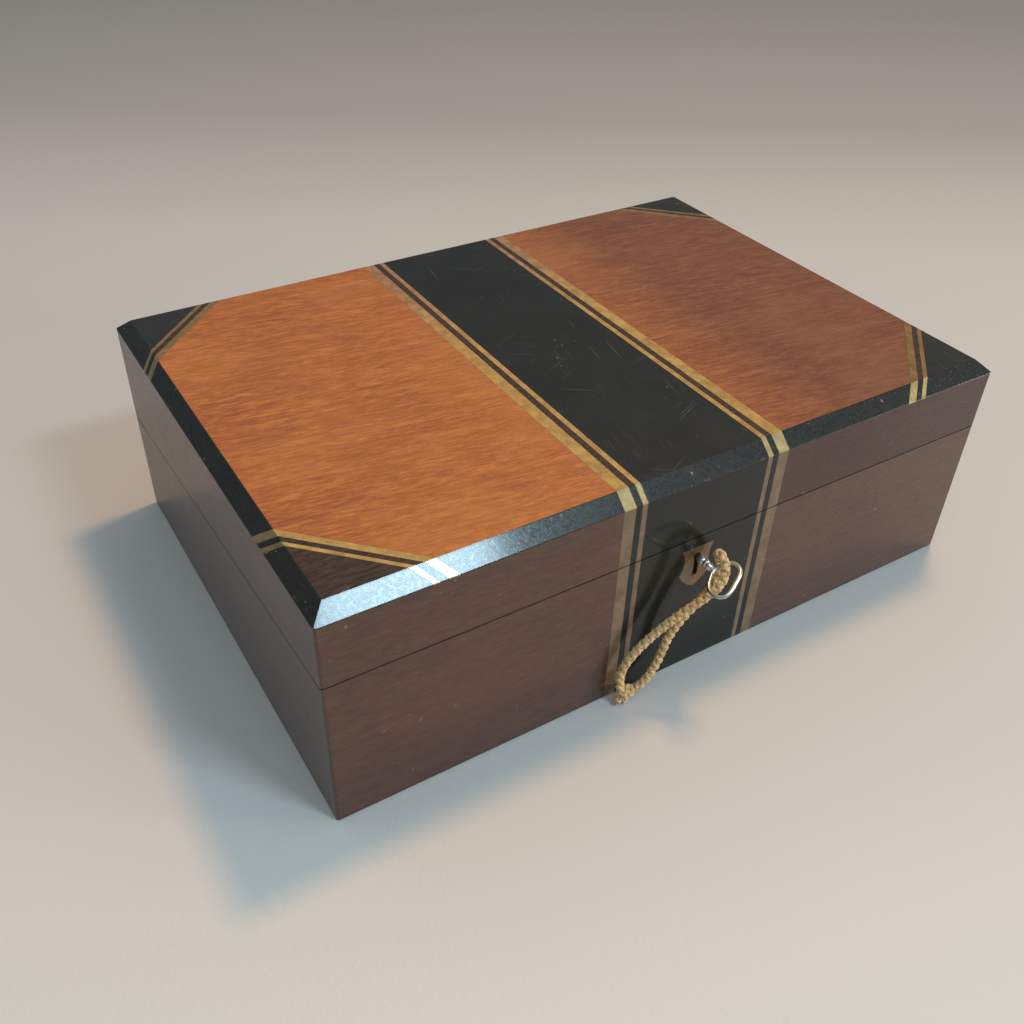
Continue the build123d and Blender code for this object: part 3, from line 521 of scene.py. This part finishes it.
def ebonised(
    name, base, light, relief, nicks=0.0, gloss=0.25, polish=0.3, sheen=0.35, rough=0.36,
    lined=0.4, pits=0.0, brown=None
):
    """Wood stained black, its polish scratched and rubbed, and brown where it is unstained."""
    wood = Surface(name, Coat_Weight=gloss, Coat_Roughness=polish, Specular_IOR_Level=sheen)
    clouds = wood.noise(40, 4, 0.6)
    tone = wood.mix(wood.between(clouds, 0.35, 0.7, 0.0, 0.6), base, light)
    if brown:
        grain = wood.between(wood.noise((140, 700, 140), 4, 0.6, 0.4), 0.35, 0.65)
        rosewood = wood.mix(grain, *ROSEWOOD)
        tone = wood.mix(brown(wood), tone, rosewood)
    lines = scratches(wood, SCRATCH_ANGLES[0])
    for angle in SCRATCH_ANGLES[1:]:
        lines = wood.maths("MAXIMUM", lines, scratches(wood, angle))
    tone = wood.mix(wood.maths("MULTIPLY", lines, lined), tone, SCRATCH)
    spots = wood.between(wood.noise(420, 2, 0.6), 0.72 - nicks, 0.76 - nicks)
    patches = wood.between(wood.noise(45, shift=(3, 1, 0)), 0.5, 0.62)
    tone = wood.mix(wood.maths("MULTIPLY", spots, patches), tone, NICK)
    grit = wood.noise(620, 2, 0.55)
    height = grit
    if pits:
        holes = wood.between(wood.noise((900, 1300, 1300)), 0.58, 0.66, 0.0, pits)
        height = wood.maths("SUBTRACT", grit, holes)
    wood.relief(height, depth=relief, edge_radius=WOOD_EDGE)
    return wood.finish(tone, wood.between(grit, 0.3, 0.7, rough, rough + 0.2))


def beside_band(wood):
    """The dark lines between the light lines of the band, on both sides of its black field."""
    return wood.between(wood.maths("ABSOLUTE", wood.axis_value("X")), *BAND_LINES)


def brown_corners(wood):
    """The dark lines of all four corners, and the whole field of the one at the front left."""
    low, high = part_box("top_board")
    from_side = wood.maths("SUBTRACT", high[0], wood.maths("ABSOLUTE", wood.axis_value("X")))
    from_end = wood.maths("SUBTRACT", high[1], wood.maths("ABSOLUTE", wood.axis_value("Y")))
    line = wood.between(wood.maths("ADD", from_side, from_end), *CORNER_LINES)
    left = wood.below(wood.axis_value("X"), *MIDDLE)
    front = wood.below(wood.axis_value("Y"), *MIDDLE)
    return wood.maths("MAXIMUM", line, wood.maths("MULTIPLY", left, front))


def far_corners(wood):
    """All corners but the one at the front left, whose light lines get painted shade."""
    right = wood.between(wood.axis_value("X"), *MIDDLE)
    back = wood.between(wood.axis_value("Y"), *MIDDLE)
    return wood.maths("MAXIMUM", right, back)


def left_side(wood):
    """The left edging, whose light lines get painted shade."""
    return wood.below(wood.axis_value("X"), *LEFT_BEVEL)


def far_end(wood):
    """The back half of the top, where the light lines get painted shade, darker and bluer."""
    return wood.between(wood.axis_value("Y"), *FAR_HALF)


def boxwood(
    name, dark, light, gloss=0.2, polish=0.3, sheen=0.5, shade=None, shaded=PAINTED_SHADE_TINT
):
    """Pale lines let into dark wood, darker where dirt has settled, and with painted shade where
    a shade mask is given.
    """
    wood = Surface(name, Coat_Weight=gloss, Coat_Roughness=polish, Specular_IOR_Level=sheen)
    streaks = wood.noise(160, 5, 0.65)
    tone = wood.mix(wood.between(streaks, 0.35, 0.65), dark, light)
    dirt = wood.between(wood.noise(700, 3, 0.6), 0.60, 0.72, 0.0, 0.6)
    tone = wood.mix(dirt, tone, LINE_DIRT)
    # painted shade: the lines are darkened where the shade mask says
    if shade:
        tone = wood.tint(shade(wood), tone, shaded)
    wood.relief(streaks, depth=0.00005, edge_radius=LINE_EDGE)
    return wood.finish(tone, wood.between(streaks, 0.3, 0.7, 0.35, 0.5))


def metal(name, tone, dull, roughness, spots=0.0):
    """Polished metal with a little tarnish and fine marks."""
    surface = Surface(name, metallic=1.0)
    clouds = surface.noise(220, 5, 0.65)
    mixed = surface.mix(surface.between(clouds, 0.45 - spots, 0.75 - spots), tone, dull)
    surface.relief(surface.noise(2500), depth=0.00001, edge_radius=METAL_EDGE)
    return surface.finish(mixed, surface.between(clouds, 0.3, 0.7, roughness, roughness + 0.18))


def fibre(name, dark, middle, light):
    """Twisted yarn: fine lines along the strands in the yarn's tones, with painted shade in the
    hollows.
    """
    yarn = Surface(name, roughness=0.85, Sheen_Weight=0.3, Sheen_Roughness=0.5)
    fine = yarn.noise((1500, 1500, 3800), 3, 0.6, turn=(20, 35, 0))
    clouds = yarn.noise(160)
    # painted shade: the tone is darkest where the fine lines' bump is lowest
    tone = yarn.ramp(yarn.between(fine, 0.3, 0.7), (0.0, dark), (0.5, middle), (1.0, light))
    tone = yarn.mix(yarn.between(clouds, 0.4, 0.7, 0.0, 0.35), tone, dark)
    yarn.relief(fine, depth=0.00025)
    return yarn.finish(tone)


def writing_leather(name, base, light, gilt, panel_box):
    """Grained leather with two gilt lines tooled round it, a little in from the edge."""
    skin = Surface(name, Coat_Weight=0.15, Coat_Roughness=0.4)
    grain = skin.cells(900)
    clouds = skin.noise(30, 4, 0.6)
    tone = skin.mix(skin.between(clouds, 0.35, 0.7), base, light)
    low, high = panel_box
    lines = None
    for inset, width in GILT_LINES:
        gaps = []
        for axis, k in (("X", 0), ("Y", 1)):
            value = skin.axis_value(axis)
            gaps.append(skin.maths("SUBTRACT", value, low[k]))
            gaps.append(skin.maths("SUBTRACT", high[k], value))
        nearest = gaps[0]
        for gap in gaps[1:]:
            nearest = skin.maths("MINIMUM", nearest, gap)
        off = skin.maths("ABSOLUTE", skin.maths("SUBTRACT", nearest, inset))
        line = skin.below(off, width / 2, width / 2 + GILT_BLUR)
        lines = line if lines is None else skin.maths("MAXIMUM", lines, line)
    rubbed = skin.between(skin.noise(300, 3), 0.35, 0.6, 0.25, 0.95)
    tone = skin.mix(skin.maths("MULTIPLY", lines, rubbed), tone, gilt)
    skin.relief(grain, depth=0.00015)
    return skin.finish(tone, skin.between(clouds, 0.3, 0.7, 0.42, 0.6))


def softwood(name, dark, middle, light):
    """Plain deal, darkened by age."""
    wood = Surface(name)
    rings = wood.noise((5, 170, 170), 5, 0.6, 0.4)
    tone = wood.ramp(wood.between(rings, 0.35, 0.65), (0.0, dark), (0.6, middle), (1.0, light))
    fine = wood.noise((30, 900, 900), 3, 0.6)
    wood.relief(fine, depth=0.0001, edge_radius=WOOD_EDGE)
    return wood.finish(tone, wood.between(fine, 0.3, 0.7, 0.6, 0.8))


def clear_glass(name):
    """Pressed glass with a faint green body and slight ripples."""
    surface = Surface(name, roughness=0.03, Transmission_Weight=1.0, IOR=1.5)
    surface.relief(surface.noise(120), depth=0.0001)
    return surface.finish(GLASS_TONE)


TOP = mahogany(
    "mahogany_top", colour(156, 77, 27), colour(181, 95, 33), colour(204, 122, 50), "x",
    gloss=0.2, fleck=0.3, wear=top_veneers, turn=(0, 0, 8)
)
FRONT = mahogany(
    "mahogany_front", colour(71, 44, 35), colour(84, 54, 43), colour(95, 63, 50), "x",
    gloss=0.8, polish=0.16, sheen=0.15, fleck=0.2, cloudy=0.3, wear=front_wear, shift=(5, 2, 1)
)
SIDE = mahogany(
    "mahogany_side", colour(66, 46, 41), colour(83, 59, 50), colour(98, 70, 59), "y",
    gloss=0.4, fleck=0.4, cloudy=0.2, wear=side_wear, shift=(2, 7, 3)
)
INNER = mahogany(
    "mahogany_inner", colour(88, 48, 30), colour(136, 78, 48), colour(160, 98, 62), "x",
    gloss=0.1, shift=(9, 4, 6)
)
BAND = ebonised(
    "ebonised_band", colour(22, 22, 20), colour(36, 36, 33), relief=0.00005, gloss=0.06,
    brown=beside_band
)
BAND_FRONT = ebonised(
    "ebonised_front", colour(18, 22, 18), colour(25, 30, 25), relief=0.00001, gloss=0.6,
    polish=0.14, sheen=0.1, lined=0.12
)
CORNER = ebonised(
    "ebonised_corner", colour(31, 30, 27), colour(49, 46, 42), relief=0.00006, nicks=0.01,
    gloss=0.1, brown=brown_corners
)
EDGING = ebonised(
    "ebonised_edging", colour(23, 22, 18), colour(36, 35, 29), relief=0.000026, nicks=0.055,
    gloss=0.5, polish=0.12, rough=0.22, lined=0.12, pits=2.5
)
# the band's light lines, with painted shade on their back half
STRING = boxwood(
    "boxwood", colour(166, 120, 56), colour(204, 158, 84), shade=far_end, shaded=FAR_SHADE_TINT
)
STRING_FRONT = boxwood(
    "boxwood_front", colour(104, 83, 62), colour(132, 108, 84), gloss=0.8, polish=0.14, sheen=0.15
)
# the corners' light lines, with painted shade on all but the front left corner
STRING_CORNER = boxwood(
    "boxwood_corner", colour(170, 126, 62), colour(208, 162, 88), shade=far_corners
)
# the edging's light lines, with painted shade on the left edging
STRING_BEVEL = boxwood(
    "boxwood_bevel", colour(158, 136, 82), colour(192, 170, 110), gloss=0.6, polish=0.12,
    shade=left_side
)
PLATE = boxwood(
    "boxwood_plate", colour(96, 72, 42), colour(126, 98, 60), gloss=0.8, polish=0.14, sheen=0.15
)
STEEL = metal("steel", colour(214, 214, 210), colour(168, 165, 158), roughness=0.26)
BRASS = metal("brass", colour(196, 158, 92), colour(120, 92, 52), roughness=0.28, spots=0.05)
SCREW = metal("screw_brass", colour(214, 176, 106), colour(150, 118, 68), roughness=0.24)
TARNISH = metal("tarnish", colour(52, 38, 20), colour(30, 22, 12), roughness=0.5)
YARN = fibre("cord_yarn", colour(164, 118, 66), colour(240, 196, 134), colour(255, 230, 176))
DEAL = softwood("deal", colour(134, 98, 64), colour(160, 124, 86), colour(172, 136, 96))
GLASS = clear_glass("glass")

# each material with the CAD nodes that get it
WORN = [
    (TOP, "top_board"),
    (FRONT, "base_front_wall", "base_back_wall", "lid_front_wall", "lid_back_wall"),
    (SIDE, "base_left_wall", "base_right_wall", "lid_left_wall", "lid_right_wall"),
    (
        INNER, "base_flap_board", "lid_flap_board", "base_ledges", "lid_ledges", "tray_rail",
        "ink_partitions", "pen_tray"
    ),
    (DEAL, "bottom_board"),
    (BAND, "top_band_ebony"),
    (BAND_FRONT, "lid_band_ebony", "base_band_ebony"),
    (CORNER, "corner_ebony"),
    (EDGING, "edging_front", "edging_right", "edging_back", "edging_left"),
    (STRING, "top_band_strings"),
    (STRING_CORNER, "corner_strings"),
    (PLATE, "escutcheon"),
    (STRING_FRONT, "lid_band_strings", "base_band_strings"),
    (STRING_BEVEL, "edging_strings"),
    (
        BRASS, "hinge_base_leaves", "hinge_lid_leaves", "hinge_pins", "base_flap_wall_leaves",
        "lid_flap_wall_leaves", "base_flap_pins", "lid_flap_pins", "base_flap_board_leaves",
        "lid_flap_board_leaves", "inkwell_cap_left", "inkwell_cap_right", "lock_case",
        "lock_cover", "lock_bolt", "link_plate"
    ),
    (GLASS, "inkwell_left", "inkwell_right"),
]
for flap in ("base_flap", "lid_flap"):
    leather = writing_leather(
        flap + "_leather_skin", colour(40, 58, 44), colour(58, 78, 58), colour(186, 150, 78),
        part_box(flap + "_leather")
    )
    WORN.append((leather, flap + "_leather", flap + "_tab"))
for material, *names in WORN:
    for name in names:
        mesh = nodes[name].data
        mesh.materials.clear()
        mesh.materials.append(material)


# Plaited cord and its knot

cord_line = even_points(spline_points(CORD_ROUTE), CORD_STEP)
braid = bmesh.new()
add_braid(braid, cord_line, **CORD_BRAID)
cord = new_piece("braided_cord", braid, YARN, "key")
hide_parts("key_cord")

knotting = bmesh.new()
loop = trefoil(KNOT_MIDDLE, KNOT_SIZE)
loop = even_points(loop + loop[:1], KNOT_STEP)[:-1]
add_braid(knotting, loop, closed=True, **KNOT_BRAID)
tail = [KNOT_MIDDLE + Vector(place) * MM for place in KNOT_TAIL]
add_braid(knotting, even_points(tail, KNOT_STEP), **KNOT_BRAID)
knot = new_piece("cord_knot_loops", knotting, YARN, "key")
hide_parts("cord_knot")


# Key: hollow shank with a ball collar and two ridges, stepped bit, bow of round wire.
# Its measures are in millimetres, across the bow and along the shank, which points to the back.

KEY_MIDDLE = Vector((0, 0, 66.3)) * MM
KEY_ANGLE = math.radians(21.6)
KEY_ACROSS = Vector((math.cos(KEY_ANGLE), 0, math.sin(KEY_ANGLE)))
KEY_FLAT = KEY_ACROSS.cross(Vector((0, 1, 0)))
SHANK_RADIUS = 1.5
BORE_RADIUS = 0.8
SHANK_TIP = -113.3
BORE_END = -117.7
SHOULDER = -132.4
SHOULDER_ROUND = 0.3
SHANK_SIDES = 24
# half outline of the shank's tip, from the bore, as radius and place along the shank
TIP_OUTLINE = [
    (0.0, BORE_END), (BORE_RADIUS, BORE_END), (BORE_RADIUS, SHANK_TIP), (1.4, SHANK_TIP),
    (SHANK_RADIUS, -113.5),
]
# the collar and the ridges: their middle, radius and half length
BALLS = ((-125.2, 2.1, 1.5), (-128.1, 1.95, 0.7), (-130.0, 1.95, 0.7))
BALL_STEPS = 8
BIT_OUTLINE = [
    (BORE_RADIUS, -117.1), (6.5, -117.1), (6.5, -114.8), (8.2, -114.8), (8.2, SHANK_TIP),
    (BORE_RADIUS, SHANK_TIP),
]
BIT_THICKNESS = 1.8
WIRE_RADIUS = 0.92
WIRE_SIDES = 16
# the bow's outline, across and outwards from the shoulder, and the steps between its corners
BOW = [
    (-0.6, 0.8), (-3.8, 2.7), (-6.4, 4.7), (-7.9, 7.0), (-8.2, 9.8), (-7.4, 12.5), (-5.3, 14.1),
    (-2.2, 13.9), (1.7, 12.3), (5.4, 10.6), (7.8, 8.7), (8.7, 6.2), (8.4, 3.6), (6.6, 1.7),
    (3.2, 0.8),
]
BOW_STEPS = 8


def key_point(across, along, beside=0.0):
    """A place on the key in metres, from its place across, along and off the flat of its bow."""
    return KEY_MIDDLE + (KEY_ACROSS * across + KEY_FLAT * beside + Vector((0, along, 0))) * MM


def closed_spline(corners):
    """A smooth closed line through its corners."""
    line = []
    count = len(corners)
    for i in range(count):
        before, start, end, after = (corners[(i + k) % count] for k in (-1, 0, 1, 2))
        for k in range(BOW_STEPS):
            t = k / BOW_STEPS
            turn = (end - before) * t + (2 * before - 5 * start + 4 * end - after) * t * t
            turn += (3 * start - before - 3 * end + after) * t * t * t
            line.append(start + turn / 2)
    return line


def shank_outline():
    """Half outline of the shank with its collar and ridges swelling from it."""
    outline = list(TIP_OUTLINE)
    for middle, radius, reach in BALLS:
        for k in range(BALL_STEPS + 1):
            angle = math.pi * k / BALL_STEPS
            swollen = SHANK_RADIUS + (radius - SHANK_RADIUS) * math.sin(angle)
            outline.append((swollen, middle + reach * math.cos(angle)))
    outline.append((SHANK_RADIUS, SHOULDER + SHOULDER_ROUND))
    return outline + [(SHANK_RADIUS - SHOULDER_ROUND, SHOULDER), (0.0, SHOULDER)]


def add_turned(builder, outline):
    """Adds a form turned round the key's axis from its half outline."""
    rings = []
    for radius, along in outline:
        ring = []
        for k in range(SHANK_SIDES if radius else 1):
            angle = 2 * math.pi * k / SHANK_SIDES
            place = key_point(radius * math.cos(angle), along, radius * math.sin(angle))
            ring.append(builder.verts.new(place))
        rings.append(ring)
    for one, other in zip(rings, rings[1:]):
        if len(one) == len(other):
            join_rings(builder, other, one)
            continue
        (tip,), ring = sorted((one, other), key=len)
        for k in range(SHANK_SIDES):
            builder.faces.new((tip, ring[k], ring[(k + 1) % SHANK_SIDES]))


def add_plate(builder, outline, thickness):
    """Adds a flat plate in the plane of the key's bow."""
    under, over = (
        [builder.verts.new(key_point(across, along, beside)) for across, along in outline]
        for beside in (-thickness / 2, thickness / 2)
    )
    builder.faces.new(under[::-1])
    builder.faces.new(over)
    join_rings(builder, under, over)


def make_key():
    builder = bmesh.new()
    add_turned(builder, shank_outline())
    bow = [key_point(across, SHOULDER - outward) for across, outward in BOW]
    add_tube(builder, closed_spline(bow), WIRE_RADIUS * MM, WIRE_SIDES, True)
    smooth = len(builder.faces)
    add_plate(builder, BIT_OUTLINE, BIT_THICKNESS)
    bmesh.ops.recalc_face_normals(builder, faces=builder.faces)
    key = new_piece("key_turned", builder, STEEL, "key")
    for face in list(key.data.polygons)[smooth:]:
        face.use_smooth = False
    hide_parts("key")


make_key()


# Slotted screws of the hinges, the lock's selvedge and the link plate

CUT_NORMAL = Vector((0, -CUT_SLOPE, 1)).normalized()
FORWARD = Vector((0, -1, 0))
# half width of a screw's slot and radius of its dark seat, as shares of the head's radius
SLOT = 0.16
SEAT = 1.12
SEAT_SIDES = 24
SEAT_HEIGHTS = (-0.1, 0.03)
# each rim of the head: share of its radius, and height in millimetres
HEAD_RIMS = ((1.0, -0.1), (1.0, 0.08), (0.86, 0.17))
HEAD_STEPS = 12
SLOT_TURN = Vector((1, 0.6, 0.3))
SEARCH_START = 0.02


def add_screw(builder, place, outward, radius):
    """Adds a low slotted head: a dark seat, and two halves with a slot between them."""
    side = outward.cross(SLOT_TURN).normalized()
    other = outward.cross(side)
    seat = []
    for height in SEAT_HEIGHTS:
        rim = []
        for k in range(SEAT_SIDES):
            angle = 2 * math.pi * k / SEAT_SIDES
            across = (side * math.cos(angle) + other * math.sin(angle)) * radius * SEAT
            rim.append(builder.verts.new(place + (across + outward * height) * MM))
        seat.append(rim)
    low, high = seat
    faces = [builder.faces.new(low[::-1]), builder.faces.new(high)]
    for face in faces + join_rings(builder, low, high):
        face.material_index = 1
    start = math.asin(SLOT)
    for way in (1, -1):
        rims = []
        for share, height in HEAD_RIMS:
            rim = []
            for k in range(HEAD_STEPS + 1):
                angle = start + (math.pi - 2 * start) * k / HEAD_STEPS
                across = side * math.cos(angle) * share
                across += other * (SLOT + (math.sin(angle) - SLOT) * share)
                corner = place + (across * way * radius + outward * height) * MM
                rim.append(builder.verts.new(corner))
            rims.append(rim)
        for low, high in zip(rims, rims[1:]):
            join_rings(builder, low, high)
        builder.faces.new(rims[-1])
        builder.faces.new(rims[0][::-1])


def make_screws(body, rows):
    """Screws of one body: each row has its carrier, their places, direction and radius."""
    builder = bmesh.new()
    for carrier, places, outward, radius in rows:
        mesh = nodes[carrier].data
        corners = [vertex.co for vertex in mesh.vertices]
        surface = BVHTree.FromPolygons(corners, [face.vertices for face in mesh.polygons])
        for place in places:
            start = Vector(place) * MM + outward * SEARCH_START
            hit = surface.ray_cast(start, -outward)[0]
            add_screw(builder, hit, outward, radius)
    bmesh.ops.recalc_face_normals(builder, faces=builder.faces)
    screws = new_piece(body + "_screws", builder, SCREW, body, smooth=False)
    screws.data.materials.append(TARNISH)


def mirrored(places, distance, y, z):
    """Places to both sides of each place along X, in millimetres."""
    return [(x + way * distance, y, z) for x in places for way in (-1, 1)]


HINGES = (-110.0, 110.0)
HINGE_PLACES = mirrored(HINGES, 12.0, 117.4, 57.0)
LOCK = (0.0,)
# radii in millimetres
HINGE_SCREW = 1.9
LOCK_SCREW = 1.7
FLAP_SCREW = 1.3
make_screws("base", [
    ("hinge_base_leaves", HINGE_PLACES, CUT_NORMAL, HINGE_SCREW),
    ("lock_case", mirrored(LOCK, 28.0, -115.5, 77.0), CUT_NORMAL, LOCK_SCREW),
    ("base_flap_wall_leaves", mirrored(HINGES, 7.5, 112.0, 50.4), FORWARD, FLAP_SCREW),
])
make_screws("lid", [
    ("hinge_lid_leaves", HINGE_PLACES, -CUT_NORMAL, HINGE_SCREW),
    ("link_plate", mirrored(LOCK, 27.0, -115.5, 77.0), -CUT_NORMAL, LOCK_SCREW),
    ("lid_flap_wall_leaves", mirrored(HINGES, 7.5, 112.0, 65.2), FORWARD, FLAP_SCREW),
])
make_screws("base_flap", [
    ("base_flap_board_leaves", mirrored(HINGES, 7.5, 105.6, 55.5), CUT_NORMAL, FLAP_SCREW),
])
make_screws("lid_flap", [
    ("lid_flap_board_leaves", mirrored(HINGES, 7.5, 105.6, 60.5), -CUT_NORMAL, FLAP_SCREW),
])


# Floor, light and background

FLOOR_SIZE = 4.0
# the direction in which the floor is painted darker, as painted shade of light falling off with
# distance, and where that starts and ends, in metres
FLOOR_AWAY = (0.54, 0.842)
FLOOR_SPAN = (-0.3, 1.2)
# light of the room: its tone, and its level at two heights, where 0 is level and 1 overhead
ROOM_TONE = (0.74, 0.92, 1.0)
ROOM_LEVELS = ((0.25, 0.145), (1.0, 0.76))


def make_floor():
    paper = Surface("paper", roughness=0.85)
    away = paper.maths("MULTIPLY", paper.axis_value("X"), FLOOR_AWAY[0])
    beside = paper.maths("MULTIPLY", paper.axis_value("Y"), FLOOR_AWAY[1])
    # painted shade: the paper's tone falls from pale to grey along that direction
    tone = paper.ramp(
        paper.between(paper.maths("ADD", away, beside), *FLOOR_SPAN),
        (0.0, colour(230, 221, 214)),
        (0.10, colour(218, 209, 203)),
        (0.28, colour(208, 199, 194)),
        (0.45, colour(204, 196, 192)),
        (0.66, colour(172, 166, 163)),
        (1.0, colour(157, 151, 149)),
    )
    paper.relief(paper.noise(420, 4, 0.6), depth=0.00012)
    builder = bmesh.new()
    bmesh.ops.create_grid(builder, x_segments=8, y_segments=8, size=FLOOR_SIZE)
    mesh = bpy.data.meshes.new("floor")
    builder.to_mesh(mesh)
    builder.free()
    mesh.materials.append(paper.finish(tone))
    floor = bpy.data.objects.new("floor", mesh)
    scene.collection.objects.link(floor)


def make_lamp(name, direction, distance, size, power, tone, along=None):
    """A soft rectangular lamp that shines on the object, its width along a line or level."""
    data = bpy.data.lights.new(name, "AREA")
    data.shape = "RECTANGLE"
    data.size, data.size_y = size
    data.energy = power
    data.color = tone
    lamp = bpy.data.objects.new(name, data)
    aim = Vector(direction).normalized()
    side = Vector(along) if along else Vector((0, 0, 1)).cross(aim)
    side = (side - aim * side.dot(aim)).normalized()
    turn = Matrix((side, aim.cross(side), aim)).transposed()
    lamp.matrix_world = Matrix.Translation(aim * distance) @ turn.to_4x4()
    scene.collection.objects.link(lamp)


def make_world():
    world = bpy.data.worlds.new("room")
    world.use_nodes = True
    tree = world.node_tree
    coordinates = tree.nodes.new("ShaderNodeTexCoord")
    split = tree.nodes.new("ShaderNodeSeparateXYZ")
    shade = tree.nodes.new("ShaderNodeValToRGB")
    tree.links.new(coordinates.outputs["Generated"], split.inputs[0])
    tree.links.new(split.outputs["Z"], shade.inputs["Fac"])
    tree.links.new(shade.outputs["Color"], tree.nodes["Background"].inputs["Color"])
    for element, (height, level) in zip(shade.color_ramp.elements, ROOM_LEVELS):
        element.position = height
        element.color = (*[part * level for part in ROOM_TONE], 1.0)
    scene.world = world


make_floor()
make_world()
make_lamp(
    "ceiling_lamp", direction=(0.32, 0.12, 0.94), distance=2.2, size=(0.26, 0.26), power=17.5,
    tone=(1.0, 0.58, 0.24)
)
make_lamp(
    "window", direction=(0.222, -0.599, 0.769), distance=1.89, size=(0.40, 0.18), power=10.8,
    tone=(0.57, 0.83, 0.98), along=(0.966, 0.157, -0.206)
)
make_lamp(
    "side_lamp", direction=(0.82, -0.57, 0.06), distance=3.0, size=(0.40, 0.40), power=42.0,
    tone=(1.0, 0.88, 0.74)
)
scene.view_settings.view_transform = "Standard"
